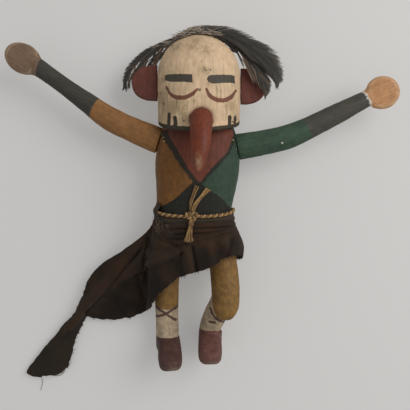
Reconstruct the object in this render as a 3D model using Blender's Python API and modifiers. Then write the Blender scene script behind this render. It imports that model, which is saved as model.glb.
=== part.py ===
"""A carved and painted dance doll, 257 mm tall, lying on its back.

The head, trunk and legs are one carved root. The two arms, two ears and the beak are carved
separately and pegged on. Four feathers lie over the crown, and a kilt of brown woven cloth is
wrapped round the hips under a cord belt.

Frame: +Z up, the doll's front faces up, its head lies towards +Y and its left hand towards +X.
The origin is the middle of the flat between the shoulder blades, on which the doll lies.
"""

import math

import bmesh
import bpy
from mathutils import Vector

MM = 0.001

# Fits
JOINT_GAP = 0.3 * MM  # between a pegged piece and what it is glued to
BEAK_CLEARANCE = 0.6 * MM  # round the beak's root in its socket
CLOTH_GAP = 0.5 * MM  # between the cloth and the wood under it

# Head: an upright oval drum with a domed crown, its lower rim dipping to the front
HEAD_WIDTH = 64 * MM
HEAD_DEPTH = 56 * MM
HEAD_BACK = -2 * MM  # where the oval would reach without the flat that is cut at z = 0
HEAD_X = 1.2 * MM
DOME_Y = 70 * MM  # where the straight sides end
DOME_HEIGHT = 31.5 * MM
CHIN_WIDTH_SHARE = 0.975  # the drum narrows a little towards the rim
RIM_Y = 33.4 * MM  # height of the rim at the sides
RIM_DIP_DEG = 19

# Trunk: one row for each section, (y, centre x, half width, back z, front z)
TRUNK = [
    (44, 0.8, 22, 1, 40),
    (28, 0.5, 29, -2, 43),
    (5, 0, 33, -2.5, 44.5),
    (-12, -0.6, 31.6, -2, 44),
    (-28, -2.2, 29.6, 2.5, 42.5),
    (-37, -2.6, 28.6, 4.2, 41.5),
    (-48, -2.2, 28.8, 3.2, 41.5),
    (-60, -1.0, 30.6, 2.4, 41),
    (-69, -0.5, 30.4, 3.0, 38),
    (-76, -0.5, 25.0, 10, 30),
]
TRUNK_SQUARENESS = 2.5

# Arms: a seat on each shoulder, then (x, y, half width) along the middle of the arm
SEAT_Z = 23 * MM
LEFT_SEAT = (32.1, 15.8)
LEFT_SEAT_DEG = 12
RIGHT_SEAT = (-31.1, 20.7)
RIGHT_SEAT_DEG = 19
LEFT_ARM = [
    (56.9, 20.4, 9.6),
    (72.5, 24.5, 9.4),
    (88.0, 31.2, 8.4),
    (110.4, 42.4, 7.9),
    (131.3, 53.1, 6.3),
]
RIGHT_ARM = [
    (-49.8, 29.0, 9.5),
    (-68.5, 37.9, 9.3),
    (-84.0, 48.9, 7.9),
    (-107.2, 65.7, 6.4),
    (-122.5, 76.6, 6.8),
]
SHOULDER_HALF_WIDTH = 10.1 * MM
ARM_ROUNDNESS = 0.9  # arm thickness as a share of its width
ARM_LIFT = 3 * MM  # the wrists ride this much higher than the shoulders
LEFT_HAND_LENGTH = 27.2 * MM
LEFT_HAND_WIDTH = 26 * MM
LEFT_HAND_DEG = 21  # how far the hand points up from the side
RIGHT_HAND_LENGTH = 30.5 * MM
RIGHT_HAND_WIDTH = 23.6 * MM
RIGHT_HAND_DEG = 31
HAND_THICKNESS = 7.5 * MM
HAND_SHARES = (0.12, 0.26, 0.45, 0.62, 0.78, 0.9, 0.97, 0.995)  # stations along the hand
HAND_RIM_SHARE = 0.11  # the end of the hand where its thickness rounds off
WRIST_FADE_SHARE = 0.42  # the start of the hand where the wrist's thickness runs out

# Ears: flat tabs with a straight inner edge
EAR_WIDTH = 20 * MM
EAR_HEIGHT = 28 * MM
EAR_THICKNESS = 4 * MM
EAR_EDGE_ROUND = 0.7 * MM
LEFT_EAR_Y = 62.7 * MM
RIGHT_EAR_Y = 65.3 * MM

# Beak: (x, y, height over the face, half width, half thickness), root first, in its face socket
BEAK_SOCKET_DEPTH = 5 * MM
BEAK = [
    (3.3, 33, 1.5, 8.1, 7.6),
    (3.2, 27.5, 7, 8.0, 7.0),
    (3.0, 20, 11, 7.7, 6.2),
    (2.6, 11.5, 13.5, 7.0, 5.6),
    (2.0, 4.2, 15, 5.5, 4.8),
    (1.4, -1.8, 15.8, 3.9, 3.8),
    (0.9, -6.2, 15.8, 2.2, 2.4),
]

# Straight leg, the doll's right: (y, x, z, half width, half depth)
RIGHT_LEG = [
    (-62, -21.0, 22, 9.5, 12),
    (-84, -23.8, 21, 9.6, 11.5),
    (-98, -24.3, 19.5, 9.3, 10.8),
    (-110, -24.4, 18, 9.1, 10.2),
    (-122, -24.3, 16, 8.9, 9.8),
    (-134, -24.3, 14, 9.0, 10.0),
    (-144, -24.2, 13, 9.2, 10.5),
]
RIGHT_SOLE_Y = -155.4 * MM
RIGHT_HEEL_X = -24.2 * MM
RIGHT_TOE_X = -19.6 * MM

# Bent leg, the doll's left: thigh and shin, (x, y, z, half width, half depth)
LEFT_THIGH = [
    (18.6, -60, 22, 10.5, 12),
    (20.4, -78, 26, 10.8, 11.5),
    (21.4, -90, 31, 10.9, 11),
    (21.7, -100, 35, 10.6, 10.4),
    (21.5, -108, 37.5, 9.6, 9.4),
    (21.2, -113.5, 38.5, 7.0, 7.0),
    (21.1, -116, 38.8, 3.2, 3.2),
]
LEFT_SHIN = [
    (20.5, -99, 30, 8.5, 9),
    (17, -109, 25, 8.9, 9.4),
    (12.8, -119, 19.5, 9.1, 9.8),
    (10.4, -129, 15.5, 9.1, 10.2),
    (9.9, -139, 13.5, 9.2, 10.5),
]
LEFT_SOLE_Y = -150.3 * MM
LEFT_HEEL_X = 9.6 * MM
LEFT_TOE_X = 9.9 * MM

# Moccasins: heel on the ground behind, toes pointing up to the viewer
FOOT_WIDTH = 18 * MM
FOOT_LENGTH = 42 * MM
HEEL_HEIGHT = 24 * MM
TOE_HEIGHT = 12.5 * MM
FOOT_SQUARENESS = 3.2

# Belt: a cord round the waist, knotted in front
BELT_DIAMETER = 3 * MM
BELT_Y = -33 * MM
BELT_SAG = 5.2 * MM  # how much lower it hangs in front
BELT_POINTS = 38
KNOT_X = -4 * MM
KNOT_RADIUS = 3.4 * MM
KNOT_FLATNESS = 0.75
FRAY_RADIUS = 1.0 * MM
# Frayed ends, each as steps (right, up) from the knot
FRAYED_ENDS = [
    [(0.2, 7), (2.2, 15), (4.4, 22)],
    [(2.6, 8.5), (8.4, 15), (13.4, 20)],
]
TASSEL_LENGTH = 18.5 * MM
TASSEL_SPREAD = 3.6 * MM
TASSEL_FLATNESS = 0.5  # its thickness as a share of its width
TASSEL_ROWS = [(0.05, 0.4), (0.3, 0.5), (0.65, 0.8), (1.0, 1.0)]  # shares of both
TASSEL_LEAN = 2.4 * MM  # how far its end hangs to the doll's right of the knot

# Kilt: one strip of cloth wrapped from the back round the front, its free end trailing
KILT_THICKNESS = 1.3 * MM
KILT_TOP_DROP = 3.2 * MM  # top edge below the belt
KILT_ROWS = 9
# Wrap, (angle round the waist, hem below the belt, flare); 0 is the doll's left, 90 its front
KILT_WRAP = [
    (-165, 63, 3.0),
    (-140, 57, 1.5),
    (-110, 50, 0.6),
    (-75, 45, 0.6),
    (-45, 42, 1.4),
    (-20, 40, 4.0),
    (2, 36.5, 6.5),
    (25, 35, 4.5),
    (48, 34.5, 3.2),
    (66, 38.5, 2.2),
    (82, 44, 5.0),
    (97, 48, 3.0),
    (111, 51.5, 1.6),
    (130, 57, 3.2),
    (150, 64, 3.0),
    (168, 75, 5.5),
]
# Trailing end, measured from the cloth's top at the doll's right hip: upper edge then lower
# edge, each (x, y) from there and z over the ground
KILT_TAIL = [
    ((-6.0, -13.3, 24), (-4.0, -75.3, 9)),
    ((-26.5, -29.3, 15), (-22.5, -84.3, 5)),
    ((-43.6, -39.9, 11), (-39.5, -86.8, 4)),
    ((-55.0, -52.3, 9), (-51.0, -85.3, 4)),
    ((-59.0, -64.3, 7.5), (-59.0, -83.3, 4)),
    ((-65.8, -80.5, 6), (-61.0, -85.3, 3.5)),
    ((-73.2, -88.7, 5), (-64.3, -91.7, 3.5)),
    ((-82.8, -99.0, 4.5), (-67.8, -100.7, 3.5)),
    ((-91.8, -108.7, 4), (-70.8, -111.5, 3)),
    ((-101.0, -120.1, 3.5), (-73.8, -122.1, 3)),
    ((-107.6, -129.8, 3), (-76.3, -128.7, 2.5)),
    ((-104.4, -133.7, 2.6), (-81.4, -132.5, 2.2)),
]
KILT_PUFF = 2.4 * MM  # how far the trailing end's middle stands over its edges
# Folds that stand up from the cloth, (x, y, x, y, height, half width) along each ridge, from
# the middle of the belt's front
KILT_FOLDS = [
    (-7.4, -20, -4.6, -35, 3.2, 4.2),
    (-14, -28, -37, -39, 2.8, 3.6),
    (-36, -28, -66, -52, 4.2, 4.6),
    (-66, -52, -88, -71, 3.0, 4.2),
    (-23, -12, -30, -30, 2.2, 4.0),
    (18, -18, 26, -32, 2.0, 4.0),
]
LOWEST_CLOTH = 0.05 * MM  # over the ground

# Feathers: (angle round the crown, clear gap to the crown, half width), where 0 degrees is the
# top and + the doll's left. Each vane lies level at its own height z, and its end sinks by the
# droop.
FEATHER_THICKNESS = 1.1 * MM
LONG_LEFT_Z = 37 * MM
LONG_LEFT_DROOP = 0 * MM
LONG_LEFT_FEATHER = [
    (-16, 0.1, 2.6),
    (0, 0.1, 2.8),
    (15, 0.4, 2.9),
    (43, 2.0, 5.6),
    (61, 5.9, 7.2),
    (75, 11.0, 8.0),
    (85, 16.8, 7.6),
    (93, 23.1, 5.4),
    (100, 29.9, 0.9),
]
SHORT_LEFT_Z = 34 * MM
SHORT_LEFT_DROOP = 0 * MM
SHORT_LEFT_FEATHER = [
    (22, 0.1, 1.8),
    (34, 0.2, 2.6),
    (46, 0.4, 3.2),
    (66, 1.2, 4.4),
    (82, 5.7, 5.2),
    (94, 11.4, 5.2),
    (102, 17.3, 3.4),
    (109, 21.4, 0.9),
]
LONG_RIGHT_Z = 20 * MM
LONG_RIGHT_DROOP = 3 * MM
LONG_RIGHT_FEATHER = [
    (11, 0.3, 2.6),
    (-5, 0.4, 2.8),
    (-21, 1.0, 3.0),
    (-45, 4.8, 3.2),
    (-62, 10.8, 3.6),
    (-76, 16.6, 4.0),
    (-86, 20.7, 4.0),
    (-93, 24.2, 2.8),
    (-98, 28.9, 0.8),
]
SHORT_RIGHT_Z = 22.2 * MM
SHORT_RIGHT_DROOP = 1 * MM
SHORT_RIGHT_FEATHER = [
    (-12, 0.0, 1.8),
    (-30, 1.2, 2.2),
    (-45, 2.8, 2.8),
    (-59, 4.9, 4.0),
    (-71, 8.1, 4.4),
    (-80, 12.3, 2.6),
    (-85, 15.0, 0.8),
]

# Facets
LIMB_SIDES = 14
TRUNK_SIDES = 28
CORD_SIDES = 8
SPAN_STEPS = 2  # rings put in for each span between two stations


def material(name, colour, roughness):
    """A painted, woven or bare finish; colour is linear RGB."""
    made = bpy.data.materials.new(name)
    made.use_nodes = True
    shader = made.node_tree.nodes["Principled BSDF"]
    shader.inputs["Base Color"].default_value = (*colour, 1)
    shader.inputs["Roughness"].default_value = roughness
    shader.inputs["Metallic"].default_value = 0
    return made


def clear_scene():
    for obj in list(bpy.data.objects):
        bpy.data.objects.remove(obj, do_unlink=True)


def collection(name):
    made = bpy.data.collections.new(name)
    bpy.context.scene.collection.children.link(made)
    return made


def smooth(stations, steps):
    """Stations with the rows of a Catmull-Rom curve put in between them."""
    rows = [tuple(row) for row in stations]
    ends = [rows[0]] + rows + [rows[-1]]
    made = []
    for before, here, there, after in zip(ends, ends[1:], ends[2:], ends[3:]):
        for step in range(steps):
            t = step / steps
            made.append(tuple(
                0.5 * (2 * b + (c - a) * t + (2 * a - 5 * b + 4 * c - d) * t * t
                       + (3 * b - a - 3 * c + d) * t ** 3)
                for a, b, c, d in zip(before, here, there, after)
            ))
    made.append(rows[-1])
    return made


def oval(sides, half_width, half_depth, squareness=2.0):
    """Points of an oval round (0, 0); squareness 2 is an ellipse and more is boxier."""
    def rounded(value):
        return math.copysign(abs(value) ** (2 / squareness), value)
    angles = [2 * math.pi * i / sides for i in range(sides)]
    return [(half_width * rounded(math.cos(a)), half_depth * rounded(math.sin(a))) for a in angles]


def loft(name, rings, group):
    """A closed mesh through rings of equally many points, capped at both ends."""
    mesh = bmesh.new()
    loops = [[mesh.verts.new(point) for point in ring] for ring in rings]
    sides = len(rings[0])
    for lower, upper in zip(loops, loops[1:]):
        for i in range(sides):
            j = (i + 1) % sides
            mesh.faces.new((lower[i], lower[j], upper[j], upper[i]))
    mesh.faces.new(loops[0])
    mesh.faces.new(loops[-1])
    bmesh.ops.recalc_face_normals(mesh, faces=mesh.faces)
    data = bpy.data.meshes.new(name)
    mesh.to_mesh(data)
    mesh.free()
    obj = bpy.data.objects.new(name, data)
    group.objects.link(obj)
    return obj


def limb(name, stations, side, group, sides=LIMB_SIDES, squareness=2.0, steps=SPAN_STEPS):
    """A loft along a bent line. A station is (x, y, z, half width, half depth) in metres, and
    the width lies along the side axis."""
    rows = smooth(stations, steps)
    middles = [Vector(row[:3]) for row in rows]
    rings = []
    for i, (middle, row) in enumerate(zip(middles, rows)):
        along = (middles[min(i + 1, len(rows) - 1)] - middles[max(i - 1, 0)]).normalized()
        across = (side - side.dot(along) * along).normalized()
        deep = along.cross(across)
        rings.append([
            middle + across * u + deep * v for u, v in oval(sides, row[3], row[4], squareness)
        ])
    return loft(name, rings, group)


def cut_flat(obj, point, outward):
    """Cuts away what lies outside a plane, and closes the cut with one flat face."""
    mesh = bmesh.new()
    mesh.from_mesh(obj.data)
    everything = mesh.verts[:] + mesh.edges[:] + mesh.faces[:]
    cut = bmesh.ops.bisect_plane(
        mesh, geom=everything, plane_co=point, plane_no=outward, clear_outer=True
    )
    edges = [item for item in cut["geom_cut"] if isinstance(item, bmesh.types.BMEdge)]
    bmesh.ops.holes_fill(mesh, edges=edges)
    bmesh.ops.recalc_face_normals(mesh, faces=mesh.faces)
    mesh.to_mesh(obj.data)
    mesh.free()


def combine(obj, others, operation):
    """Applies Booleans of the other objects to obj, and removes them."""
    for other in others:
        modifier = obj.modifiers.new(operation.title(), "BOOLEAN")
        modifier.operation = operation
        modifier.object = other
        modifier.solver = "EXACT"
    graph = bpy.context.evaluated_depsgraph_get()
    made = bpy.data.meshes.new_from_object(obj.evaluated_get(graph))
    obj.modifiers.clear()
    obj.data = made
    for other in others:
        bpy.data.objects.remove(other, do_unlink=True)


def finish(obj, look):
    """Gives a piece its material, and smooth shading with crisp cut edges."""
    obj.data.materials.clear()
    obj.data.materials.append(look)
    obj.data.shade_smooth()
    obj.data.set_sharp_from_angle(angle=math.radians(35))


def in_metres(rows):
    return [tuple(value * MM for value in row) for row in rows]


def trunk_at(y):
    """(centre x, half width, back z, front z) of the trunk at a height y, in metres."""
    rows = smooth(in_metres(TRUNK), 8)
    y = min(max(y, rows[-1][0]), rows[0][0])
    for upper, lower in zip(rows, rows[1:]):
        if lower[0] <= y <= upper[0]:
            share = (upper[0] - y) / (upper[0] - lower[0])
            return [u + (v - u) * share for u, v in zip(upper[1:], lower[1:])]
    return rows[-1][1:]


def around_trunk(y, degrees, outward):
    """A point that stands outward of the trunk at height y; 0 is its left side, 90 its front."""
    x, half_width, back, front = trunk_at(y)
    half_depth = (front - back) / 2
    angle = math.radians(degrees)

    def rounded(value):
        return math.copysign(abs(value) ** (2 / TRUNK_SQUARENESS), value)
    return Vector((
        x + (half_width + outward) * rounded(math.cos(angle)),
        y,
        (front + back) / 2 + (half_depth + outward) * rounded(math.sin(angle)),
    ))


def seat_normal(side, degrees):
    """Outward normal of the shoulder flat on one side, +1 for the doll's left."""
    angle = math.radians(degrees)
    return Vector((side * math.cos(angle), math.sin(angle), 0))


def head_face_z():
    return HEAD_BACK + HEAD_DEPTH


def make_head(group):
    """The drum with its dome, cut off below by the dipping rim."""
    middle = HEAD_BACK + HEAD_DEPTH / 2
    dip = math.tan(math.radians(RIM_DIP_DEG))
    lowest = RIM_Y - HEAD_DEPTH / 2 * dip - 2 * MM
    sections = [(lowest, CHIN_WIDTH_SHARE), (RIM_Y + 12 * MM, 0.99), (DOME_Y, 1.0)]
    for degrees in (12, 24, 36, 48, 59, 69, 78, 86):
        angle = math.radians(degrees)
        sections.append((DOME_Y + DOME_HEIGHT * math.sin(angle), math.cos(angle) ** 0.95))
    rings = []
    for y, share in sections:
        outline = oval(TRUNK_SIDES, HEAD_WIDTH / 2 * share, HEAD_DEPTH / 2 * share)
        rings.append([Vector((HEAD_X + u, y, middle + v)) for u, v in outline])
    head = loft("head", rings, group)
    cut_flat(head, Vector((0, RIM_Y, middle)), Vector((0, -1, -dip)).normalized())
    return head


def make_trunk(group):
    rings = []
    for y, x, half_width, back, front in smooth(in_metres(TRUNK), SPAN_STEPS):
        outline = oval(TRUNK_SIDES, half_width, (front - back) / 2, TRUNK_SQUARENESS)
        rings.append([Vector((x + u, y, (front + back) / 2 + v)) for u, v in outline])
    trunk = loft("trunk", rings, group)
    for side, seat, degrees in ((1, LEFT_SEAT, LEFT_SEAT_DEG), (-1, RIGHT_SEAT, RIGHT_SEAT_DEG)):
        point = Vector((seat[0] * MM, seat[1] * MM, SEAT_Z))
        cut_flat(trunk, point, seat_normal(side, degrees))
    return trunk


def make_foot(name, heel_x, toe_x, sole_y, group):
    """A moccasin: a round-ended block, tall at the heel and low at the toe."""
    half = FOOT_WIDTH / 2
    instep = (HEEL_HEIGHT + TOE_HEIGHT) / 2
    rows = [  # (share of the length from the heel, height, half width)
        (-0.02, HEEL_HEIGHT, half * 0.72),
        (0.06, HEEL_HEIGHT, half * 0.92),
        (0.3, HEEL_HEIGHT, half * 0.97),
        (0.55, (HEEL_HEIGHT + instep) / 2, half),
        (0.78, (instep + TOE_HEIGHT) / 2, half),
        (0.92, TOE_HEIGHT * 0.95, half * 0.88),
        (0.98, TOE_HEIGHT * 0.8, half * 0.62),
        (1.0, TOE_HEIGHT * 0.6, half * 0.3),
    ]
    stations = []
    for share, height, half_width in rows:
        x = heel_x + (toe_x - heel_x) * share
        stations.append((x, sole_y + height / 2, FOOT_LENGTH * share, half_width, height / 2))
    return limb(name, stations, Vector((1, 0, 0)), group, squareness=FOOT_SQUARENESS)


def make_body(group):
    """Head, trunk and legs carved from one root, with its back and heels cut flat at z = 0."""
    def column(rows):
        return in_metres([(x, y, z, u, v) for y, x, z, u, v in rows])
    x_axis = Vector((1, 0, 0))
    body = make_trunk(group)
    body.name = "body"
    carved = [
        make_head(group),
        limb("straight_leg", column(RIGHT_LEG), x_axis, group),
        make_foot("right_foot", RIGHT_HEEL_X, RIGHT_TOE_X, RIGHT_SOLE_Y, group),
        limb("thigh", in_metres(LEFT_THIGH), x_axis, group),
        limb("shin", in_metres(LEFT_SHIN), x_axis, group),
        make_foot("left_foot", LEFT_HEEL_X, LEFT_TOE_X, LEFT_SOLE_Y, group),
    ]
    combine(body, carved, "UNION")
    combine(body, [make_beak_socket(group)], "DIFFERENCE")
    cut_flat(body, Vector((0, 0, 0)), Vector((0, 0, -1)))
    return body


def beak_line():
    """Stations of the beak from its root, which stands in the face."""
    face = head_face_z()
    rows = [(x, y, z + face, u, v) for x, y, z, u, v in in_metres(BEAK)]
    x, y, z, half_width, half_depth = rows[0]
    root = (x, y, z - BEAK_SOCKET_DEPTH, half_width, half_depth)
    return smooth([root] + rows, SPAN_STEPS)


def make_beak(group):
    return limb("beak", beak_line(), Vector((1, 0, 0)), group, steps=1)


def make_beak_socket(group):
    """The beak's own form with a clearance all round and behind its root."""
    rows = [(x, y, z, u + BEAK_CLEARANCE, v + BEAK_CLEARANCE) for x, y, z, u, v in beak_line()]
    root = Vector(rows[0][:3])
    behind = root - (Vector(rows[1][:3]) - root).normalized() * BEAK_CLEARANCE
    rows.insert(0, (*behind, *rows[0][3:]))
    return limb("beak_socket", rows, Vector((1, 0, 0)), group, steps=1)


def make_arm(name, side, seat, seat_deg, rows, hand, group):
    """An arm and its round hand in one, its shoulder end cut to lie on the trunk's seat. The
    hand is (length, width, degrees up from the side)."""
    normal = seat_normal(side, seat_deg)
    start = Vector((seat[0] * MM, seat[1] * MM, SEAT_Z))
    inside = start - normal * SHOULDER_HALF_WIDTH
    thick = SHOULDER_HALF_WIDTH * ARM_ROUNDNESS
    stations = [
        (*inside, SHOULDER_HALF_WIDTH, thick),
        (*start, SHOULDER_HALF_WIDTH, thick),
    ]
    for i, (x, y, half_width) in enumerate(in_metres(rows)):
        z = SEAT_Z + ARM_LIFT * (i + 1) / len(rows)
        stations.append((x, y, z, half_width, half_width * ARM_ROUNDNESS))
    wrist = Vector(stations[-1][:3])
    wrist_half = stations[-1][3]
    length, width, degrees = hand
    angle = math.radians(degrees)
    along = Vector((side * math.cos(angle), math.sin(angle), 0))
    for share in HAND_SHARES:
        round_half = width / 2 * math.sqrt(1 - (2 * share - 1) ** 2)
        half_width = max(round_half, wrist_half * (1 - share))
        rim = HAND_THICKNESS / 2 * math.sqrt(min(1, (1 - share) / HAND_RIM_SHARE))
        wrist_thick = wrist_half * ARM_ROUNDNESS * (1 - share / WRIST_FADE_SHARE)
        stations.append((*(wrist + along * length * share), half_width, max(rim, wrist_thick)))
    arm = limb(name, stations, Vector((0, 1, 0)), group)
    cut_flat(arm, start + normal * JOINT_GAP, -normal)
    return arm


def make_ear(name, side, y, group):
    """A D-shaped tab, straight along the head and round outside, with softened edges."""
    inner = side * HEAD_WIDTH / 2 + HEAD_X + side * JOINT_GAP
    middle = HEAD_BACK + HEAD_DEPTH / 2
    rings = []
    for z, inset in ((0, EAR_EDGE_ROUND), (EAR_EDGE_ROUND, 0),
                     (EAR_THICKNESS - EAR_EDGE_ROUND, 0), (EAR_THICKNESS, EAR_EDGE_ROUND)):
        points = []
        for i in range(19):
            angle = math.radians(-90 + 10 * i)
            out = (EAR_WIDTH - inset) * abs(math.cos(angle)) ** 0.8
            up = math.copysign(abs(math.sin(angle)) ** 0.9, math.sin(angle))
            points.append(Vector((inner + side * out, y + (EAR_HEIGHT / 2 - inset) * up,
                                  middle - EAR_THICKNESS / 2 + z)))
        rings.append(points)
    return loft(name, rings, group)


def make_feather(name, rows, z, droop, group):
    """A flat vane that follows the crown and hangs past the ear."""
    middle = HEAD_BACK + HEAD_DEPTH / 2
    crown_share = math.sqrt(1 - ((z - middle) / (HEAD_DEPTH / 2)) ** 2)
    stations = []
    for degrees, gap, half_width in rows:
        angle = math.radians(degrees)
        across = HEAD_WIDTH / 2 * crown_share * math.sin(angle)
        up = DOME_HEIGHT * crown_share * math.cos(angle)
        clear = JOINT_GAP + (gap + half_width) * MM
        place = Vector((
            HEAD_X + across + clear * math.sin(angle),
            DOME_Y + up + clear * math.cos(angle),
            z - droop * (1 - math.cos(angle)),
        ))
        stations.append((*place, FEATHER_THICKNESS / 2, half_width * MM))
    return limb(name, stations, Vector((0, 0, 1)), group, sides=CORD_SIDES)


def belt_height(degrees):
    """The cord's height y round the waist, lowest in front."""
    front = max(0, math.sin(math.radians(degrees)))
    return BELT_Y - BELT_SAG * front


def make_belt_loop(group):
    """The cord round the waist, as one closed tube."""
    radius = BELT_DIAMETER / 2
    curve = bpy.data.curves.new("belt", "CURVE")
    curve.dimensions = "3D"
    curve.bevel_depth = radius
    curve.bevel_resolution = 2
    line = curve.splines.new("POLY")
    line.points.add(BELT_POINTS - 1)
    for i, point in enumerate(line.points):
        degrees = 360 * i / BELT_POINTS
        point.co = (*around_trunk(belt_height(degrees), degrees, radius + JOINT_GAP), 1)
    line.use_cyclic_u = True
    guide = bpy.data.objects.new("belt_guide", curve)
    group.objects.link(guide)
    graph = bpy.context.evaluated_depsgraph_get()
    graph.update()
    tube = bpy.data.meshes.new_from_object(guide.evaluated_get(graph))
    belt = bpy.data.objects.new("belt", tube)
    group.objects.link(belt)
    bpy.data.objects.remove(guide, do_unlink=True)
    return belt


def make_tassel(knot, group):
    """The cord's lower end, fraying out over the kilt that it hangs on."""
    stations = []
    for share, spread in TASSEL_ROWS:
        y = knot.y - TASSEL_LENGTH * share
        half_width = TASSEL_SPREAD * spread
        half_thick = half_width * TASSEL_FLATNESS
        cloth = kilt_front(y) + KILT_THICKNESS / 2 + CLOTH_GAP
        z = max(knot.z, cloth + half_thick)
        stations.append((knot.x - TASSEL_LEAN * share, y, z, half_width, half_thick))
    return limb("tassel", stations, Vector((1, 0, 0)), group, sides=CORD_SIDES)


def make_belt(group):
    """The cord with its knot, two frayed ends above it and a tassel below, in one."""
    belt = make_belt_loop(group)
    knot_y = BELT_Y - BELT_SAG
    knot = Vector((KNOT_X, knot_y, trunk_at(knot_y)[3] + JOINT_GAP + KNOT_RADIUS * KNOT_FLATNESS))
    bpy.ops.mesh.primitive_uv_sphere_add(
        segments=12, ring_count=8, radius=KNOT_RADIUS, location=knot
    )
    ball = bpy.context.object
    ball.scale = (1.1, 1, KNOT_FLATNESS)
    bpy.ops.object.transform_apply(location=True, rotation=True, scale=True)
    joined = [ball, make_tassel(knot, group)]
    for i, steps in enumerate(FRAYED_ENDS):
        stations = [(*knot, FRAY_RADIUS, FRAY_RADIUS)]
        for right, up in in_metres(steps):
            y = knot.y + up
            z = trunk_at(y)[3] + JOINT_GAP + FRAY_RADIUS * 2
            stations.append((knot.x + right, y, z, FRAY_RADIUS, FRAY_RADIUS))
        joined.append(limb(f"frayed_end_{i}", stations, Vector((0, 0, 1)), group, CORD_SIDES))
    combine(belt, joined, "UNION")
    return belt


def kilt_rise():
    """How far the middle of the cloth lies outside the trunk."""
    return KILT_THICKNESS / 2 + CLOTH_GAP


def fold_height(x, y):
    """How far the folds lift the cloth at a place seen from the front."""
    front = Vector((0, BELT_Y - BELT_SAG))
    place = Vector((x, y)) - front
    height = 0
    for x1, y1, x2, y2, rise, half_width in in_metres(KILT_FOLDS):
        start = Vector((x1, y1))
        line = Vector((x2, y2)) - start
        along = min(max((place - start).dot(line) / line.length_squared, 0), 1)
        away = (place - start - line * along).length
        height = max(height, rise * math.exp(-((away / half_width) ** 2)))
    return height


def kilt_hips_y():
    """The widest section of the hips, from which the cloth hangs straight."""
    return TRUNK[-3][0] * MM


def kilt_front(y):
    """Height z of the cloth's middle over the front of the trunk, at its highest."""
    top_y = BELT_Y - BELT_SAG - KILT_TOP_DROP
    if y > top_y:
        return trunk_at(y)[3] + kilt_rise()
    fronts = [row for row in KILT_WRAP if abs(row[0] - 90) < 25]
    share = max((top_y - y) / (row[1] * MM - KILT_TOP_DROP - BELT_SAG) for row in fronts)
    flare = max(row[2] for row in fronts) * MM * share
    folds = max(fold_height(KNOT_X - TASSEL_SPREAD * i, y) for i in range(-1, 3))
    return trunk_at(max(y, kilt_hips_y()))[3] + kilt_rise() + flare + folds


def kilt_wrap_column(degrees, hem, flare):
    """Points down the cloth at one angle round the waist."""
    top_y = belt_height(degrees) - KILT_TOP_DROP
    hem_y = BELT_Y - hem * MM
    lowest = KILT_THICKNESS / 2 + LOWEST_CLOTH
    column = []
    for row in range(KILT_ROWS):
        share = row / (KILT_ROWS - 1)
        y = top_y + (hem_y - top_y) * share
        place = around_trunk(max(y, kilt_hips_y()), degrees, kilt_rise() + flare * MM * share)
        place.y = y
        if math.sin(math.radians(degrees)) > 0:
            place.z += fold_height(place.x, y)
        place.z = max(place.z, lowest)
        column.append(tuple(place))
    return column


def kilt_tail_column(upper, lower):
    """Points across the trailing end, from its upper edge to its lower one."""
    hip = around_trunk(BELT_Y - KILT_TOP_DROP, 180, kilt_rise())
    top = Vector((hip.x, hip.y, 0)) + Vector(upper) * MM
    bottom = Vector((hip.x, hip.y, 0)) + Vector(lower) * MM
    column = []
    for row in range(KILT_ROWS):
        share = row / (KILT_ROWS - 1)
        place = top.lerp(bottom, share)
        place.z += KILT_PUFF * math.sin(math.pi * share) + fold_height(place.x, place.y)
        column.append(tuple(place))
    return column


def make_kilt(group):
    """The cloth as a sheet through its columns, thickened to both sides."""
    columns = [kilt_wrap_column(*row) for row in KILT_WRAP]
    columns += [kilt_tail_column(*row) for row in KILT_TAIL]
    lines = [smooth([column[row] for column in columns], SPAN_STEPS) for row in range(KILT_ROWS)]
    mesh = bmesh.new()
    grid = [[mesh.verts.new(point) for point in line] for line in lines]
    for upper, lower in zip(grid, grid[1:]):
        for a, b, c, d in zip(upper, upper[1:], lower[1:], lower):
            mesh.faces.new((a, b, c, d))
    bmesh.ops.recalc_face_normals(mesh, faces=mesh.faces)
    data = bpy.data.meshes.new("kilt")
    mesh.to_mesh(data)
    mesh.free()
    kilt = bpy.data.objects.new("kilt", data)
    group.objects.link(kilt)
    shell = kilt.modifiers.new("Cloth", "SOLIDIFY")
    shell.thickness = KILT_THICKNESS
    shell.offset = 0
    return kilt


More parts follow.
